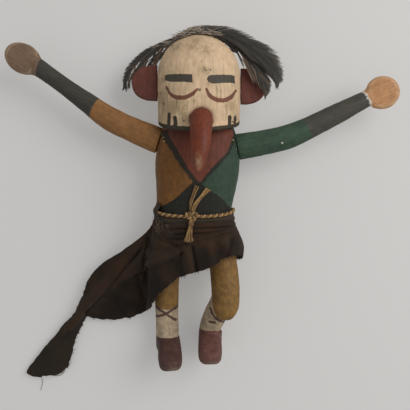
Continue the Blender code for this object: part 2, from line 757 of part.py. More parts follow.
def main():
    clear_scene()
    doll = collection("dance_doll")
    ochre = material("ochre_paint", (0.35, 0.17, 0.045), 0.75)
    green = material("green_paint", (0.03, 0.075, 0.05), 0.7)
    red = material("red_paint", (0.16, 0.03, 0.022), 0.7)
    white = material("white_clay", (0.62, 0.5, 0.36), 0.85)
    cloth = material("brown_cloth", (0.035, 0.022, 0.017), 0.9)
    cord = material("twisted_cord", (0.33, 0.19, 0.085), 0.9)
    vane = material("dark_feather", (0.02, 0.017, 0.015), 0.6)

    left_hand = (LEFT_HAND_LENGTH, LEFT_HAND_WIDTH, LEFT_HAND_DEG)
    right_hand = (RIGHT_HAND_LENGTH, RIGHT_HAND_WIDTH, RIGHT_HAND_DEG)
    finish(make_body(doll), white)
    finish(make_arm("left_arm", 1, LEFT_SEAT, LEFT_SEAT_DEG, LEFT_ARM, left_hand, doll), green)
    finish(make_arm("right_arm", -1, RIGHT_SEAT, RIGHT_SEAT_DEG, RIGHT_ARM, right_hand, doll), ochre)
    finish(make_ear("left_ear", 1, LEFT_EAR_Y, doll), red)
    finish(make_ear("right_ear", -1, RIGHT_EAR_Y, doll), red)
    finish(make_beak(doll), red)
    feathers = [
        ("long_left_feather", LONG_LEFT_FEATHER, LONG_LEFT_Z, LONG_LEFT_DROOP),
        ("short_left_feather", SHORT_LEFT_FEATHER, SHORT_LEFT_Z, SHORT_LEFT_DROOP),
        ("long_right_feather", LONG_RIGHT_FEATHER, LONG_RIGHT_Z, LONG_RIGHT_DROOP),
        ("short_right_feather", SHORT_RIGHT_FEATHER, SHORT_RIGHT_Z, SHORT_RIGHT_DROOP),
    ]
    for name, rows, z, droop in feathers:
        finish(make_feather(name, rows, z, droop, doll), vane)
    finish(make_belt(doll), cord)
    finish(make_kilt(doll), cloth)


main()
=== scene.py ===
"""A carved and painted dance doll on its back, dressed in its paint, cloth, cord and feathers."""

import math
import random

import bpy
import numpy as np
from bpy.props import FloatProperty, FloatVectorProperty, IntProperty, PointerProperty
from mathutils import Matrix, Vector, noise


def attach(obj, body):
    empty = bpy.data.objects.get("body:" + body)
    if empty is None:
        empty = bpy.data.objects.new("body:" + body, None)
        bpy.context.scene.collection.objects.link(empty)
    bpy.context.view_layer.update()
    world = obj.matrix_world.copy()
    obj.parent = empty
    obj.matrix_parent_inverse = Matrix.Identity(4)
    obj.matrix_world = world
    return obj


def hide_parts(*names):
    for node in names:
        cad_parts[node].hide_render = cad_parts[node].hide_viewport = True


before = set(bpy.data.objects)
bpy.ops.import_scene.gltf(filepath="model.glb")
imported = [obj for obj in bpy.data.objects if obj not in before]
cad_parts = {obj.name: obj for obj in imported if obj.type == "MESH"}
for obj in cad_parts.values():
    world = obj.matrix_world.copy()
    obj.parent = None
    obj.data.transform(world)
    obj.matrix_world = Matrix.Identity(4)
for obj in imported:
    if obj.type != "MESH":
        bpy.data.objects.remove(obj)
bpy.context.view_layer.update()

bl_info = {
    "name": "Carved dance doll",
    "version": (1, 0, 0),
    "blender": (4, 5, 0),
    "location": "3D View > Sidebar > Doll",
    "description": "Dresses the solids of a carved dance doll in paint, cloth, cord and feathers",
    "category": "Object",
}

MM = 0.001
KNIFE_GRAIN, RASP_GRAIN = 9 * MM, 4 * MM

# The trunk and the cloth, as the solids have them
HEAD_WIDTH, HEAD_DEPTH, HEAD_BACK, HEAD_X = 64, 56, -2, 1.2
DOME_Y, DOME_HEIGHT = 70, 31.5
RIM_Y, RIM_DIP_DEG = 33.4, 19
TRUNK = [  # (y, centre x, half width, back z, front z)
    (44, 0.8, 22, 1, 40), (28, 0.5, 29, -2, 43), (5, 0, 33, -2.5, 44.5),
    (-12, -0.6, 31.6, -2, 44), (-28, -2.2, 29.6, 2.5, 42.5), (-37, -2.6, 28.6, 4.2, 41.5),
    (-48, -2.2, 28.8, 3.2, 41.5), (-60, -1.0, 30.6, 2.4, 41), (-69, -0.5, 30.4, 3.0, 38),
    (-76, -0.5, 25.0, 10, 30),
]
TRUNK_SQUARENESS = 2.5
HIPS_Y = -60
BELT_Y, BELT_SAG = -33, 5.2
KILT_TOP_DROP = 1.9  # the cloth's top edge tucks in under the cord
TAIL_FROM_Y = -36.2
KILT_RISE = 1.15  # the middle of the cloth outside the trunk
KILT_WRAP = [  # (angle round the waist, hem below the belt, flare)
    (-165, 63, 3.0), (-140, 57, 1.5), (-110, 50, 0.6), (-75, 45, 0.6), (-45, 42, 1.4),
    (-20, 40, 2.6), (2, 36.5, 3.6), (25, 35, 2.8), (48, 34.5, 2.6), (66, 38.5, 2.2),
    (82, 44, 5.0), (97, 48, 3.0), (111, 52, 1.6), (130, 60.5, 3.0), (150, 70, 3.0),
    (168, 76.5, 5.5),
]
KILT_TAIL = [  # upper and lower edge, each (x, y) from the hip and z over the ground
    ((-6.0, -13.3, 24), (-4.0, -75.3, 9)), ((-26.5, -29.3, 15), (-22.5, -84.3, 5)),
    ((-43.6, -39.9, 11), (-39.5, -86.8, 4)), ((-55.0, -52.3, 9), (-51.0, -85.3, 4)),
    ((-59.0, -64.3, 7.5), (-59.0, -83.3, 4)), ((-65.8, -80.5, 6), (-61.0, -85.3, 3.5)),
    ((-73.2, -88.7, 5), (-64.3, -91.7, 3.5)), ((-82.8, -99.0, 4.5), (-67.8, -100.7, 3.5)),
    ((-91.8, -108.7, 4), (-70.8, -111.5, 3)), ((-101.0, -120.1, 3.5), (-73.8, -122.1, 3)),
    ((-108.2, -130.2, 3), (-76.6, -126.4, 2.5)), ((-102.0, -134.4, 2.6), (-84.0, -131.6, 2.2)),
]
KILT_PUFF = 2.4
# Folds and creases, (x, y, x, y, height, half width): a crease has a height under 0
KILT_FOLDS = [
    (-8.6, -60.2, -5.2, -76.2, 2.2, 3.4), (-14, -66.2, -37, -77.2, 2.8, 3.6),
    (-36, -66.2, -66, -90.2, 4.2, 4.6), (-66, -90.2, -88, -109.2, 3.0, 4.2),
    (-23, -50.2, -30, -68.2, 2.2, 4.0), (18, -56.2, 26, -70.2, 2.0, 4.0),
    (-12, -57.5, 4, -54.5, 1.6, 2.2), (4, -54.5, 24, -47.5, 1.4, 2.2),
    (-31, -52, -16, -57.5, 1.2, 2.2), (9, -60, 10, -72, 1.6, 3.0),
    (-27, -45.8, 27, -44.4, 1.1, 1.2), (-24, -49.8, 22, -48.4, 1.0, 1.1),
    (-18, -53.4, 6, -52.6, 0.9, 1.1),
]
KILT_CREASES = [
    (-15.6, -60.6, 25.9, -49.8, -1.5, 1.5), (-33.4, -51.2, -15.6, -60.6, -1.6, 1.5),
    (-3.6, -60.6, -0.7, -78.7, -1.8, 1.3), (-38.8, -54.9, -41.1, -78.1, -2.0, 1.5),
    (-10.4, -65.3, -32.6, -77.0, -2.0, 1.4), (-32.6, -77.0, -48.8, -84.5, -2.0, 1.4),
    (-43.7, -64.9, -70.1, -94.2, -1.9, 1.4), (-70.1, -94.2, -92.6, -116.8, -1.5, 1.3),
    (-68.5, -93.7, -60.3, -115.7, -1.6, 1.7), (-47, -84, -44, -104, -1.5, 1.8),
    (-28, -43.2, 27, -42.0, -1.6, 0.7), (-24, -47.8, 24, -46.2, -1.4, 0.7),
    (-20, -51.7, 8, -50.6, -1.3, 0.7), (-26, -55.2, -4, -54.8, -1.2, 0.7),
    (10, -50.2, 28, -47.8, -1.1, 0.8), (24, -56, 21, -68, -1.4, 1.6),
]
# Laps, where one layer ends on the next: its line, height, and how far it falls away on the
# side to the left of the line's direction and on the side to its right
KILT_LAPS = [
    ([(-33.4, -50.2), (-15.6, -60.6), (25.9, -48.8), (33, -46)], 1.7, 1.2, 9.0),
    ([(-6.7, -60.6), (-10.4, -64.3), (-32.6, -76.2), (-46.8, -83.5)], 2.3, 1.1, 8.0),
    ([(-43.7, -60.9), (-70.1, -91.7), (-92.6, -114.8), (-104, -130)], 2.0, 1.1, 11.0),
    ([(-69, -92.7), (-61.3, -114.7)], 1.1, 4.0, 0.9),
    ([(-5.2, -58), (-2.4, -80)], 2.4, 1.0, 6.5),
    ([(-38.8, -54.9), (-42.5, -86)], 1.8, 0.8, 5.0),
]

# Feathers, (degrees round the crown, clear gap to the crown, half width)
LONG_LEFT = [(-22, 0.2, 2.8), (0, 0.4, 3.2), (15, 0.6, 3.8), (43, 1.6, 6.0), (61, 5.6, 7.4),
             (75, 10.8, 8.2), (85, 16.6, 7.8), (93, 23.0, 5.6), (100, 29.5, 0.9)]
SHORT_LEFT = [(10, 0.2, 1.8), (34, 0.4, 3.0), (46, 0.5, 3.8), (66, 0.9, 5.2), (82, 5.2, 6.0),
              (94, 10.8, 5.8), (102, 16.8, 3.8), (109, 21.0, 0.9)]
LONG_RIGHT = [(16, 0.4, 2.6), (-21, 0.6, 3.0), (-45, 4.6, 3.2), (-62, 10.6, 3.6),
              (-76, 16.4, 4.0), (-86, 20.5, 4.0), (-93, 24.0, 2.8), (-98, 28.7, 0.8)]
SHORT_RIGHT = [(-2, 0.2, 1.8), (-30, 0.8, 2.4), (-45, 2.6, 3.0), (-59, 4.7, 4.0),
               (-71, 7.9, 4.4), (-80, 12.0, 2.6), (-85, 14.8, 0.8)]

# Painted shapes, as (x, y) seen from the front
EYES = [
    [(-24, 66.9), (-3.6, 64.9), (-3.1, 59.4), (-19, 61.2), (-23.4, 63.2)],
    [(7.3, 61.9), (8.6, 63.9), (10.5, 64.6), (27.9, 67.0), (28.2, 61.7), (11.4, 58.9),
     (8.2, 59.8)],
]
CRESCENTS = [
    [(-22.8, 58.1), (-19.6, 52.6), (-14.4, 49.2), (-8.4, 48.8), (-3.4, 51.0), (0.2, 54.4)],
    [(6.9, 54.6), (9.6, 49.8), (14.4, 47.2), (20.0, 47.4), (25.0, 50.6), (29.2, 56.6)],
]
TABS = [
    ([(-20.6, 37.4), (-20.9, 28)], 1.35), ([(-16.1, 34.6), (-15.5, 26)], 1.4),
    ([(24.2, 35.7), (24.0, 27)], 1.4), ([(28.6, 36.5), (28.2, 28)], 1.0),
]
SPECKS = [  # (x, y, radius)
    (2.0, 54.0, 0.95), (5.3, 69.2, 0.45), (6.3, 67.9, 0.6), (7.9, 67.4, 0.4), (9.8, 68.6, 0.7),
    (11.6, 68.2, 0.4), (8.8, 66.4, 0.45), (3.6, 74.4, 0.5), (4.1, 70.6, 0.35), (6.9, 86.5, 0.5),
    (-24.6, 46, 0.7), (-9.5, 31.5, 0.8), (26.5, 32.5, 0.9), (-27.5, 55, 0.5),
]
STAINS = [  # (x, y, radius)
    (-22, 43, 7), (-13, 42, 5.5), (-26, 52, 5), (-26, 36, 6), (-9, 34, 4), (25, 44, 4.5),
    (-1, 92, 3.6), (-26, 64, 3.0), (29, 36, 3.5), (9, 58, 2.0), (5, 68, 2.5), (-4, 87, 3),
    (-28, 47, 5), (-20, 37, 4), (7, 83, 2.5), (-29, 74, 3.5), (-14, 88, 2.5),
]
DRIPS = [  # old runs down the mask
    [(-17.3, 47), (-17.6, 38)], [(-14.9, 48), (-15.2, 42)], [(-9.6, 47), (-10, 40)],
    [(14.6, 57), (14.9, 44)], [(17.5, 55), (17.6, 47)], [(-1.9, 46.5), (-2.4, 41)],
    [(-25.4, 50), (-25.6, 39)], [(21.8, 45), (22.0, 38)], [(-20.6, 60), (-20.8, 53)],
]
SEAM_CHIPS = [(-26.2, 22, 0.6), (-27.8, 25, 0.5), (-25.4, 18.8, 0.4), (27.6, 20.4, 0.6)]
SEAM_LINE = [(29.5, 19.5), (30.3, 12), (30.9, 4)]
CHEST_EDGE = [(-28.8, 28), (-28.2, 22.5), (-24.6, 18.2), (-21.0, 13.4), (-13.4, 0.7),
              (-2.2, -13.8), (3, -15), (13.5, -3.6), (24.8, 9), (30, 22), (30, 28)]
CHEST_RED = [(-21.8, 28), (-21.8, 24.1), (-16, 13.9), (-6.9, -1.8), (1.2, -12.4), (2.8, -12.4),
             (11.2, -1.8), (22.4, 9.8), (27.4, 23.1), (27.4, 28)]
WAIST_BLACK = [(-3, -12.5), (-17.7, -25.8), (-27.6, -30.8), (-45, -34), (-45, -57), (45, -57),
               (45, -36), (26.2, -32.4), (17.1, -23.3), (10.4, -19.1), (4, -14.5)]
GARTERS = [
    [(-33.5, -108.6), (-31.8, -109.3), (-26, -112.8), (-21, -116.6), (-17.4, -119.6)],
    [(-33.5, -117.3), (-31.8, -116.7), (-25.1, -114.4), (-19, -110.8), (-13.5, -108)],
    [(10.2, -109.0), (12.2, -114.2), (16.6, -118.2), (21.5, -120.8), (25.5, -121.4)],
    [(9.6, -119.8), (13.6, -120.4)],
]
LEGS_Y, SOCK_TOP, SOCK_END, BENT_SOCK_END = -58, -110.5, -133.6, -127.4
THIGH = ((18.6, -60, 22), (21.5, -107, 37.5))  # middle lines of the bent leg
SHIN = ((18, -105, 26), (9.9, -139, 13.5))
TOE_WEAR = [(13, -149, 2.5), (-18, -154, 3.2)]  # (x, y, radius)
KNEE_CUT = ((18.5, -126), (33.8, -104.6))
KNEE_WAY = (-0.81, 0.58)  # the way that the knee's corner is drawn in
FRONT_Z, WAIST_Z = 24, 14  # paint seen from the front stops at this height
# the beak's tip is painted paler there: rub wear and a painted highlight
BEAK_TIP = (1.4, -0.5)  # (x, y) of the rubbed tip
BEAK_ROOT = (3.2, 32.3, 8.7)  # centre and radius of its outline on the mask
RIGHT_BAND = ((-76.2, 53.4), (-84, 39.3))
RIGHT_WRIST = ((-121.1, 83.5), (-125, 70.3))
LEFT_BAND = ((81.2, 38.1), (89.2, 22.1))
LEFT_WRIST = ((128.2, 58.5), (134.4, 47.6))
RIGHT_HAND = (-135.8, 84.2)
LEFT_HAND = (144, 58.1)
WHITE_SPOT = (65.2, 18.2, 0.75)  # a chip on the left arm, with its radius
FAR = 50  # stands for "nowhere near" in a distance attribute, mm
PATCHY = 0.3  # how patchy the paint is on arms, ears and beak

# How each feather grows, see grow_feather, and the down over its root, see add_down
FEATHERS = {
    "long_left_feather": (
        dict(rows=LONG_LEFT, z=37, droop=0, inner=1.2, outer=1.0, parted=0.4, split=0.12,
             open_deg=30, grey_to=0.3, brown=0.06, seed=3),
        dict(z=37, count=420, low_deg=-28, high_deg=24, tones=(-0.04, 0.3), seed=11)),
    "short_left_feather": (
        dict(rows=SHORT_LEFT, z=34, droop=0, inner=1.25, outer=1.15, parted=0.5, split=0.2,
             open_deg=30, grey_to=0.1, brown=0.2, seed=4),
        dict(z=33, count=220, low_deg=18, high_deg=50, tones=(0.28, 0.5), seed=13)),
    "long_right_feather": (
        dict(rows=LONG_RIGHT, z=20, droop=3, inner=2.6, outer=1.0, parted=0.2, split=0.95,
             open_deg=44, grey_to=0.7, brown=0.6, seed=5),
        dict(z=24, count=330, low_deg=-44, high_deg=10, tones=(-0.02, 0.32), seed=12)),
    "short_right_feather": (
        dict(rows=SHORT_RIGHT, z=22.2, droop=1, inner=2.6, outer=0.7, parted=0.2, split=0.95,
             open_deg=48, grey_to=0.6, brown=0.7, seed=6),
        None),
}
BARB_WIDTHS = (0.62, 0.75, 0.75, 0.66, 0.48, 0.14)  # along a barb, as shares of the pitch
DOWN_WIDTHS = (0.24, 0.28, 0.26, 0.18, 0.06)  # half widths along a strand of down, mm
OVER_HEAD = [(-17, 97.5, 27), (-18.5, 94.8, 33), (-19.2, 91.4, 38.9), (-18.0, 85.6, 45.6),
             (-14.9, 79.2, 49.9)]  # where a few strands fall over the dome

# The belt's knot, its two frayed ends, as (right, up) from the knot with the number of strands
# and their spread, and its tassel, as shares of its length with its half width
KNOT_X = -4
BELT_ENDS = [([(-0.8, 2), (-1.0, 9), (1.6, 17), (4.0, 23)], 5, 2.1),
             ([(0.8, 2), (2.6, 8.5), (7.4, 15), (12.6, 20.5)], 10, 2.8)]
BELT_END_FAN = (0.25, 0.45, 0.9, 0.8, 1.5)  # share of the spread, from the knot outward
TASSEL = [(0, 1.2), (0.2, 1.7), (0.32, 1.3), (0.6, 2.1), (0.85, 2.9), (1.0, 3.9)]
TASSEL_LENGTH, TASSEL_STRANDS = 16, 44

# The cloth's points between two of its stations, and its loose threads as (x, y, z)
STEPS_ALONG, STEPS_DOWN = 16, 10
HEM_FRAYS, FLUFF_STRANDS, STRIP_THREADS = 230, 150, 7
FLUFF_DEG, FLUFF_Y = (143, 12), (-49.8, 4.0)  # middle and spread
STRIP_DEG, STRIP_STEP = 146, 2.6
TAIL_THREAD = [(-129.6, -169.0, 2.6), (-129.4, -172.4, 1.4), (-128.6, -176.0, 0.7),
               (-129.4, -179.8, 0.5), (-130.2, -183.0, 0.4)]
HEM_THREADS = [
    [(-125, -169.2, 3.3), (-120, -168.6, 3.5), (-115, -167.6, 3.2), (-110.8, -165.2, 3.0),
     (-108.4, -161.8, 3.2), (-107.2, -157.5, 3.4)],
    [(-121.5, -169.4, 3.0), (-117.2, -170.6, 1.8), (-113, -169.8, 1.6), (-110.4, -167.0, 2.2),
     (-109.2, -164.0, 3.0), (-108.8, -161, 3.3)],
    [(-139, -164.5, 3.6), (-138.4, -168.4, 3.0), (-134, -170.2, 2.6), (-128.5, -169.8, 2.9),
     (-124, -169.4, 3.2), (-120, -169.2, 3.0)],
]
# The strip's end drawn up over the cord, as (y, outward of the trunk) between its two ends
STRIP_RISE = [(-41, 2.2), (-38, 2.9), (-35.5, 3.5), (-33, 3.4), (-31, 2.0)]

# The eye over the doll, in metres, its focal length and the picture's width, in pixels
EYE, FOCAL_PIXELS, PICTURE_PIXELS = (0.0059, -0.0295, 0.420), 506, 410


def linear(code):
    """An sRGB hex colour in linear light."""
    channels = [int(code[i:i + 2], 16) / 255 for i in (0, 2, 4)]
    return tuple(c / 12.92 if c <= 0.04045 else ((c + 0.055) / 1.055) ** 2.4 for c in channels)


def colour(name, description, code):
    return FloatVectorProperty(name=name, description=description, subtype="COLOR", size=3,
                               min=0, max=1, default=linear(code))


def size(name, description, millimetres):
    return FloatProperty(name=name, description=description, subtype="DISTANCE", unit="LENGTH",
                         precision=5, default=millimetres * MM)


class DollPaint(bpy.types.PropertyGroup):
    """Colours of the painted root."""
    cream: colour("Mask cream", "Clay white of the mask, gone cream", "c8ac8b")
    stain: colour("Stain", "Handling stains on the mask", "84704f")
    black: colour("Black", "Black-green of the waist and the mask's rim", "1f1e18")
    charcoal: colour("Charcoal", "Eyes and forearms", "3d3a33")
    red: colour("Red", "Chest and mask lines", "623426")
    ear_red: colour("Ear red", "Darker red of the ears", "60362d")
    beak_red: colour("Beak red", "Warm red of the beak", "6a321f")
    ochre: colour("Ochre", "Doll's right side", "6b4722")
    # The arm colours are lighter copies of the trunk's ochre, green and charcoal: painted light,
    # for arms that stand brighter in the light
    lit_arm_ochre: colour("Arm ochre", "Doll's right arm, rubbed paler", "865e37")
    green: colour("Green", "Doll's left side and arm", "304133")
    lit_arm_green: colour("Arm green", "Doll's left arm, in better paint", "394c3b")
    lit_arm_charcoal: colour("Arm charcoal", "Doll's left forearm", "46433c")
    skin: colour("Leg ochre", "Mottled ochre of the legs", "76582f")
    sock: colour("Sock", "Off-white of the lower legs", "a4927a")
    moccasin: colour("Moccasin", "Dull red of the left foot", "62423b")
    soiled_moccasin: colour("Soiled moccasin", "Darker red of the right foot", "4f3732")
    dark_hand: colour("Dark hand", "Doll's right hand", "765f4c")
    light_hand: colour("Light hand", "Doll's left hand", "ae8059")
    white: colour("White ground", "Clay ground that shows in chips", "cdcabc")
    bare: colour("Bare root", "Wood and ground where the paint is worn", "b59a78")


class DollCarving(bpy.types.PropertyGroup):
    """How the root was carved."""
    body_grid: size("Body grid", "Spacing of the body's surface points", 0.82)
    small_grid: size("Small grid", "Spacing of the points on arms, ears and beak", 0.6)
    knife: size("Knife marks", "Depth of the shallow facets that the knife left", 0.35)
    rasp: size("Rasp marks", "Depth of the finer unevenness", 0.12)
    rounds: IntProperty(name="Sanding", description="Rounds of smoothing", default=40, min=1)


class DollDress(bpy.types.PropertyGroup):
    """Cloth, cord and feathers."""
    cloth_thickness: size("Cloth thickness", "The woven cloth of the kilt", 0.9)
    thread_pitch: size("Thread pitch", "Drawn wider than real so that the weave shows", 0.95)
    cloth: colour("Cloth", "Dark brown of the kilt", "2a1f16")
    # the darkest cloth colour makes both the cloth's dark patches and painted shade in its
    # creases
    cloth_dark_and_crease_shade: colour("Cloth in folds", "The blackest of the kilt", "1c1610")
    cloth_red: colour("Cloth, reddish", "Where the dye turned red", "382015")
    # the worn cloth colour makes both rub wear near the waist and a painted highlight on raised
    # folds and laps
    cloth_worn_and_fold_highlight: colour("Cloth, worn", "Rubbed folds of the kilt", "39291d")
    cloth_tail: colour("Cloth, tail", "The tail, more faded than dyed", "29231b")
    waist: colour("Waist stain", "Grey-green paint rubbed into the cloth's top", "35342b")
    fluff: colour("Fluff", "Loose grey-brown thread at the waist", "6f604b")
    cord_diameter: size("Cord", "Two plies together", 2.8)
    cord_pitch: size("Cord twist", "Length of one full twist", 4.6)
    cord: colour("Cord", "Tan string", "a48254")
    cord_dark: colour("Cord, dark", "Soiled string", "61482f")
    feather: colour("Feather", "Near-black vane", "322f2a")
    feather_grey: colour("Feather, faded", "Grey-brown down near the crown", "a09181")
    feather_brown: colour("Feather, brown", "Brown barbs", "65503e")
    barb_pitch: size("Barb pitch", "Between barbs on one side of a shaft", 0.5)


class DollStage(bpy.types.PropertyGroup):
    """Floor, lights and camera."""
    floor: colour("Floor", "Plain pale floor", "a5a3a0")
    glow: FloatProperty(name="Floor glow", description="Light that a back-lit paper floor gives",
                        default=0.23, min=0)
    key: FloatProperty(name="Key light", description="Watts", default=10.5, min=0)
    sky: FloatProperty(name="Sky", description="Strength of the light from all round",
                       default=0.50, min=0)


# ---- shared making ----

def deselect():
    for other in bpy.context.selected_objects:
        other.select_set(False)


def take_up(piece):
    """Makes a piece the one that operators act on."""
    deselect()
    piece.select_set(True)
    bpy.context.view_layer.objects.active = piece


def apply_modifiers(piece):
    take_up(piece)
    for modifier in list(piece.modifiers):
        bpy.ops.object.modifier_apply(modifier=modifier.name)


def points_of(piece):
    """The piece's points in millimetres, as x, y and z."""
    flat = np.empty(len(piece.data.vertices) * 3)
    piece.data.vertices.foreach_get("co", flat)
    return (flat.reshape(-1, 3) / MM).T


def move_points(piece, x, y, z):
    """Puts the piece's points at new places in millimetres."""
    piece.data.vertices.foreach_set("co", (np.stack([x, y, z], axis=1) * MM).reshape(-1))
    piece.data.update()


def store(piece, name, values):
    layer = piece.data.attributes.new(name, "FLOAT", "POINT")
    layer.data.foreach_set("value", np.asarray(values, np.float32))


def dress(piece, node, slot, look):
    """Gives a piece its material, and has it stand for its CAD node."""
    piece.data.materials.clear()
    piece.data.materials.append(look)
    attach(piece, "root")
    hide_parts(node)


def mend_faces(piece, merge=0.0):
    """Merges points closer than merge, in metres, and turns every face outward."""
    take_up(piece)
    bpy.ops.object.mode_set(mode="EDIT")
    bpy.ops.mesh.select_all(action="SELECT")
    if merge:
        bpy.ops.mesh.remove_doubles(threshold=merge)
    bpy.ops.mesh.normals_make_consistent(inside=False)
    bpy.ops.object.mode_set(mode="OBJECT")


def marks(piece, name, kind, grain, depth):
    """Sinks and raises the surface by a texture whose grain is in metres."""
    texture = bpy.data.textures.new(name, kind)
    texture.noise_scale = grain
    relief = piece.modifiers.new(name, "DISPLACE")
    relief.texture = texture
    relief.texture_coords = "LOCAL"
    relief.strength = depth
    relief.mid_level = 0.5


def carve(node, grid, rounds, plump, crisp=None):
    """A fine copy of a solid: merged, remeshed, sanded and marked by the knife. plump, in
    metres, makes up for what sanding takes off, and crisp tells the points that keep an edge."""
    carving = bpy.context.scene.doll_carving
    piece = bpy.data.objects.new("carved_" + node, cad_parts[node].data.copy())
    bpy.context.scene.collection.objects.link(piece)
    mend_faces(piece, 0.00001)
    even = piece.modifiers.new("Even grid", "REMESH")
    even.mode = "VOXEL"
    even.voxel_size = grid
    apply_modifiers(piece)
    group = piece.vertex_groups.new(name="sanded")
    weights = np.ones(len(piece.data.vertices))
    if crisp is not None:
        weights = crisp(*points_of(piece))
    for level in np.unique(weights):
        group.add(np.flatnonzero(weights == level).tolist(), float(level), "REPLACE")
    sanding = piece.modifiers.new("Sanding", "SMOOTH")
    sanding.factor = 0.5
    sanding.iterations = rounds
    sanding.vertex_group = "sanded"
    fill = piece.modifiers.new("Plump", "DISPLACE")
    fill.strength = plump
    fill.mid_level = 0
    marks(piece, "Knife marks", "VORONOI", KNIFE_GRAIN, carving.knife)
    marks(piece, "Rasp marks", "CLOUDS", RASP_GRAIN, carving.rasp)
    apply_modifiers(piece)
    piece.vertex_groups.clear()
    piece.data.shade_smooth()
    return piece


def to_line(x, y, path):
    """Distance of each point to a line through the path's points."""
    best = np.full(x.shape, float(FAR))
    for (x1, y1), (x2, y2) in zip(path, path[1:]):
        dx, dy = x2 - x1, y2 - y1
        share = np.clip(((x - x1) * dx + (y - y1) * dy) / (dx * dx + dy * dy), 0, 1)
        best = np.minimum(best, np.hypot(x - x1 - share * dx, y - y1 - share * dy))
    return best


def to_lines(x, y, paths):
    return np.min([to_line(x, y, path) for path in paths], axis=0)


def to_shape(x, y, corners):
    """Distance to a closed outline, under 0 inside it."""
    inside = np.zeros(x.shape, bool)
    for (x1, y1), (x2, y2) in zip(corners, corners[1:] + corners[:1]):
        if y1 != y2:
            inside ^= ((y1 > y) != (y2 > y)) & (x < (x2 - x1) * (y - y1) / (y2 - y1) + x1)
    return np.where(inside, -1, 1) * to_line(x, y, corners + corners[:1])


def past_line(x, y, line):
    """Distance past a line through two points, over 0 on the side to the right of it."""
    (x1, y1), (x2, y2) = line
    return ((x - x1) * (y2 - y1) - (y - y1) * (x2 - x1)) / math.hypot(x2 - x1, y2 - y1)


def spots(x, y, rows):
    return np.min([np.hypot(x - u, y - v) - radius for u, v, radius in rows], axis=0)


def smooth(stations, steps):
    """Stations with the rows of a Catmull-Rom curve put in between them."""
    rows = np.array(stations, float)
    ends = np.vstack([rows[:1], rows, rows[-1:]])
    t = (np.arange(steps) / steps)[:, None]
    made = [
        0.5 * (2 * b + (c - a) * t + (2 * a - 5 * b + 4 * c - d) * t ** 2
               + (3 * b - a - 3 * c + d) * t ** 3)
        for a, b, c, d in zip(ends, ends[1:], ends[2:], ends[3:])
    ]
    return np.vstack(made + [rows[-1:]])


def frames(path, up=None):
    """The ways across and deep at each point of a path: across lies square to up, or else turns
    as little as it can."""
    across = None
    for i in range(len(path)):
        ahead = (path[min(i + 1, len(path) - 1)] - path[max(i - 1, 0)]).normalized()
        if up is not None:
            across = ahead.cross(up).normalized()
        elif across is None:
            across = ahead.orthogonal().normalized()
        else:
            across = (across - across.dot(ahead) * ahead).normalized()
        yield across, across.cross(ahead)


class Strands:
    """Gathers closed strands, flat or round, into one mesh."""

    def __init__(self):
        self.points, self.faces, self.tone, self.along = [], [], [], []

    def add(self, path, widths, sides=6, flat=1.0, up=None, tone=0.5):
        """A strand through the path's points. flat is its thickness as a share of its width,
        and it lies square to up."""
        path = [Vector(point) for point in path]
        first = len(self.points)
        for i, (place, width, (across, deep)) in enumerate(zip(path, widths, frames(path, up))):
            for side in range(sides):
                angle = 2 * math.pi * side / sides
                self.points.append(place + across * width * math.cos(angle)
                                   + deep * width * flat * math.sin(angle))
                self.tone.append(tone)
                self.along.append(i / (len(path) - 1))
        for ring in range(len(path) - 1):
            low = first + ring * sides
            for side in range(sides):
                beside = (side + 1) % sides
                self.faces.append((low + side, low + sides + side,
                                   low + sides + beside, low + beside))
        self.faces.append(tuple(range(first, first + sides)))
        self.faces.append(tuple(reversed(range(len(self.points) - sides, len(self.points)))))

    def piece(self, name):
        made = mesh_piece(name, self.points, self.faces)
        store(made, "tone", self.tone)
        store(made, "along", self.along)
        return made


def mesh_piece(name, points, faces):
    mesh = bpy.data.meshes.new(name)
    mesh.from_pydata([tuple(point) for point in points], [], faces)
    mesh.shade_smooth()
    piece = bpy.data.objects.new(name, mesh)
    bpy.context.scene.collection.objects.link(piece)
    return piece


# ---- materials ----

def add(tree, kind, inputs=None, **settings):
    """Adds a node with its settings, its inputs set or linked by name or number."""
    made = tree.nodes.new(kind)
    for name, value in settings.items():
        setattr(made, name, value)
    for key, value in (inputs or {}).items():
        if isinstance(value, bpy.types.NodeSocket):
            tree.links.new(value, made.inputs[key])
        else:
            made.inputs[key].default_value = value
    return made


def blend(tree, factor, first, second):
    """The colour between two, each a socket or linear RGB."""
    pair = [value if isinstance(value, bpy.types.NodeSocket) else (*value, 1)
            for value in (first, second)]
    return add(tree, "ShaderNodeMix", {0: factor, 6: pair[0], 7: pair[1]},
               data_type="RGBA").outputs[2]


def stepped(tree, value, low, high, to_low=0.0, to_high=1.0):
    """A value run smoothly from to_low at low to to_high at high."""
    return add(tree, "ShaderNodeMapRange",
               {0: value, 1: low, 2: high, 3: to_low, 4: to_high},
               interpolation_type="SMOOTHSTEP").outputs[0]


def read(tree, attribute):
    """The value of one of the piece's attributes."""
    return add(tree, "ShaderNodeAttribute", attribute_name=attribute).outputs["Fac"]


def fractal(tree, where, scale, detail, roughness=0.5):
    """Noise with its scale in waves a metre."""
    return add(tree, "ShaderNodeTexNoise", {"Vector": where, "Scale": scale, "Detail": detail,
                                            "Roughness": roughness}).outputs[0]


def maths(tree, operation, *values):
    return add(tree, "ShaderNodeMath", dict(enumerate(values)), operation=operation).outputs[0]


def shaded(tree, tint, shares):
    """The colour with its red, green and blue each times a share."""
    grey = add(tree, "ShaderNodeCombineColor", dict(enumerate(shares))).outputs[0]
    return add(tree, "ShaderNodeMix", {0: 1.0, 6: tint, 7: grey}, data_type="RGBA",
               blend_type="MULTIPLY").outputs[2]


def new_look(name):
    look = bpy.data.materials.new(name)
    look.use_nodes = True
    tree = look.node_tree
    return look, tree, tree.nodes["Principled BSDF"]


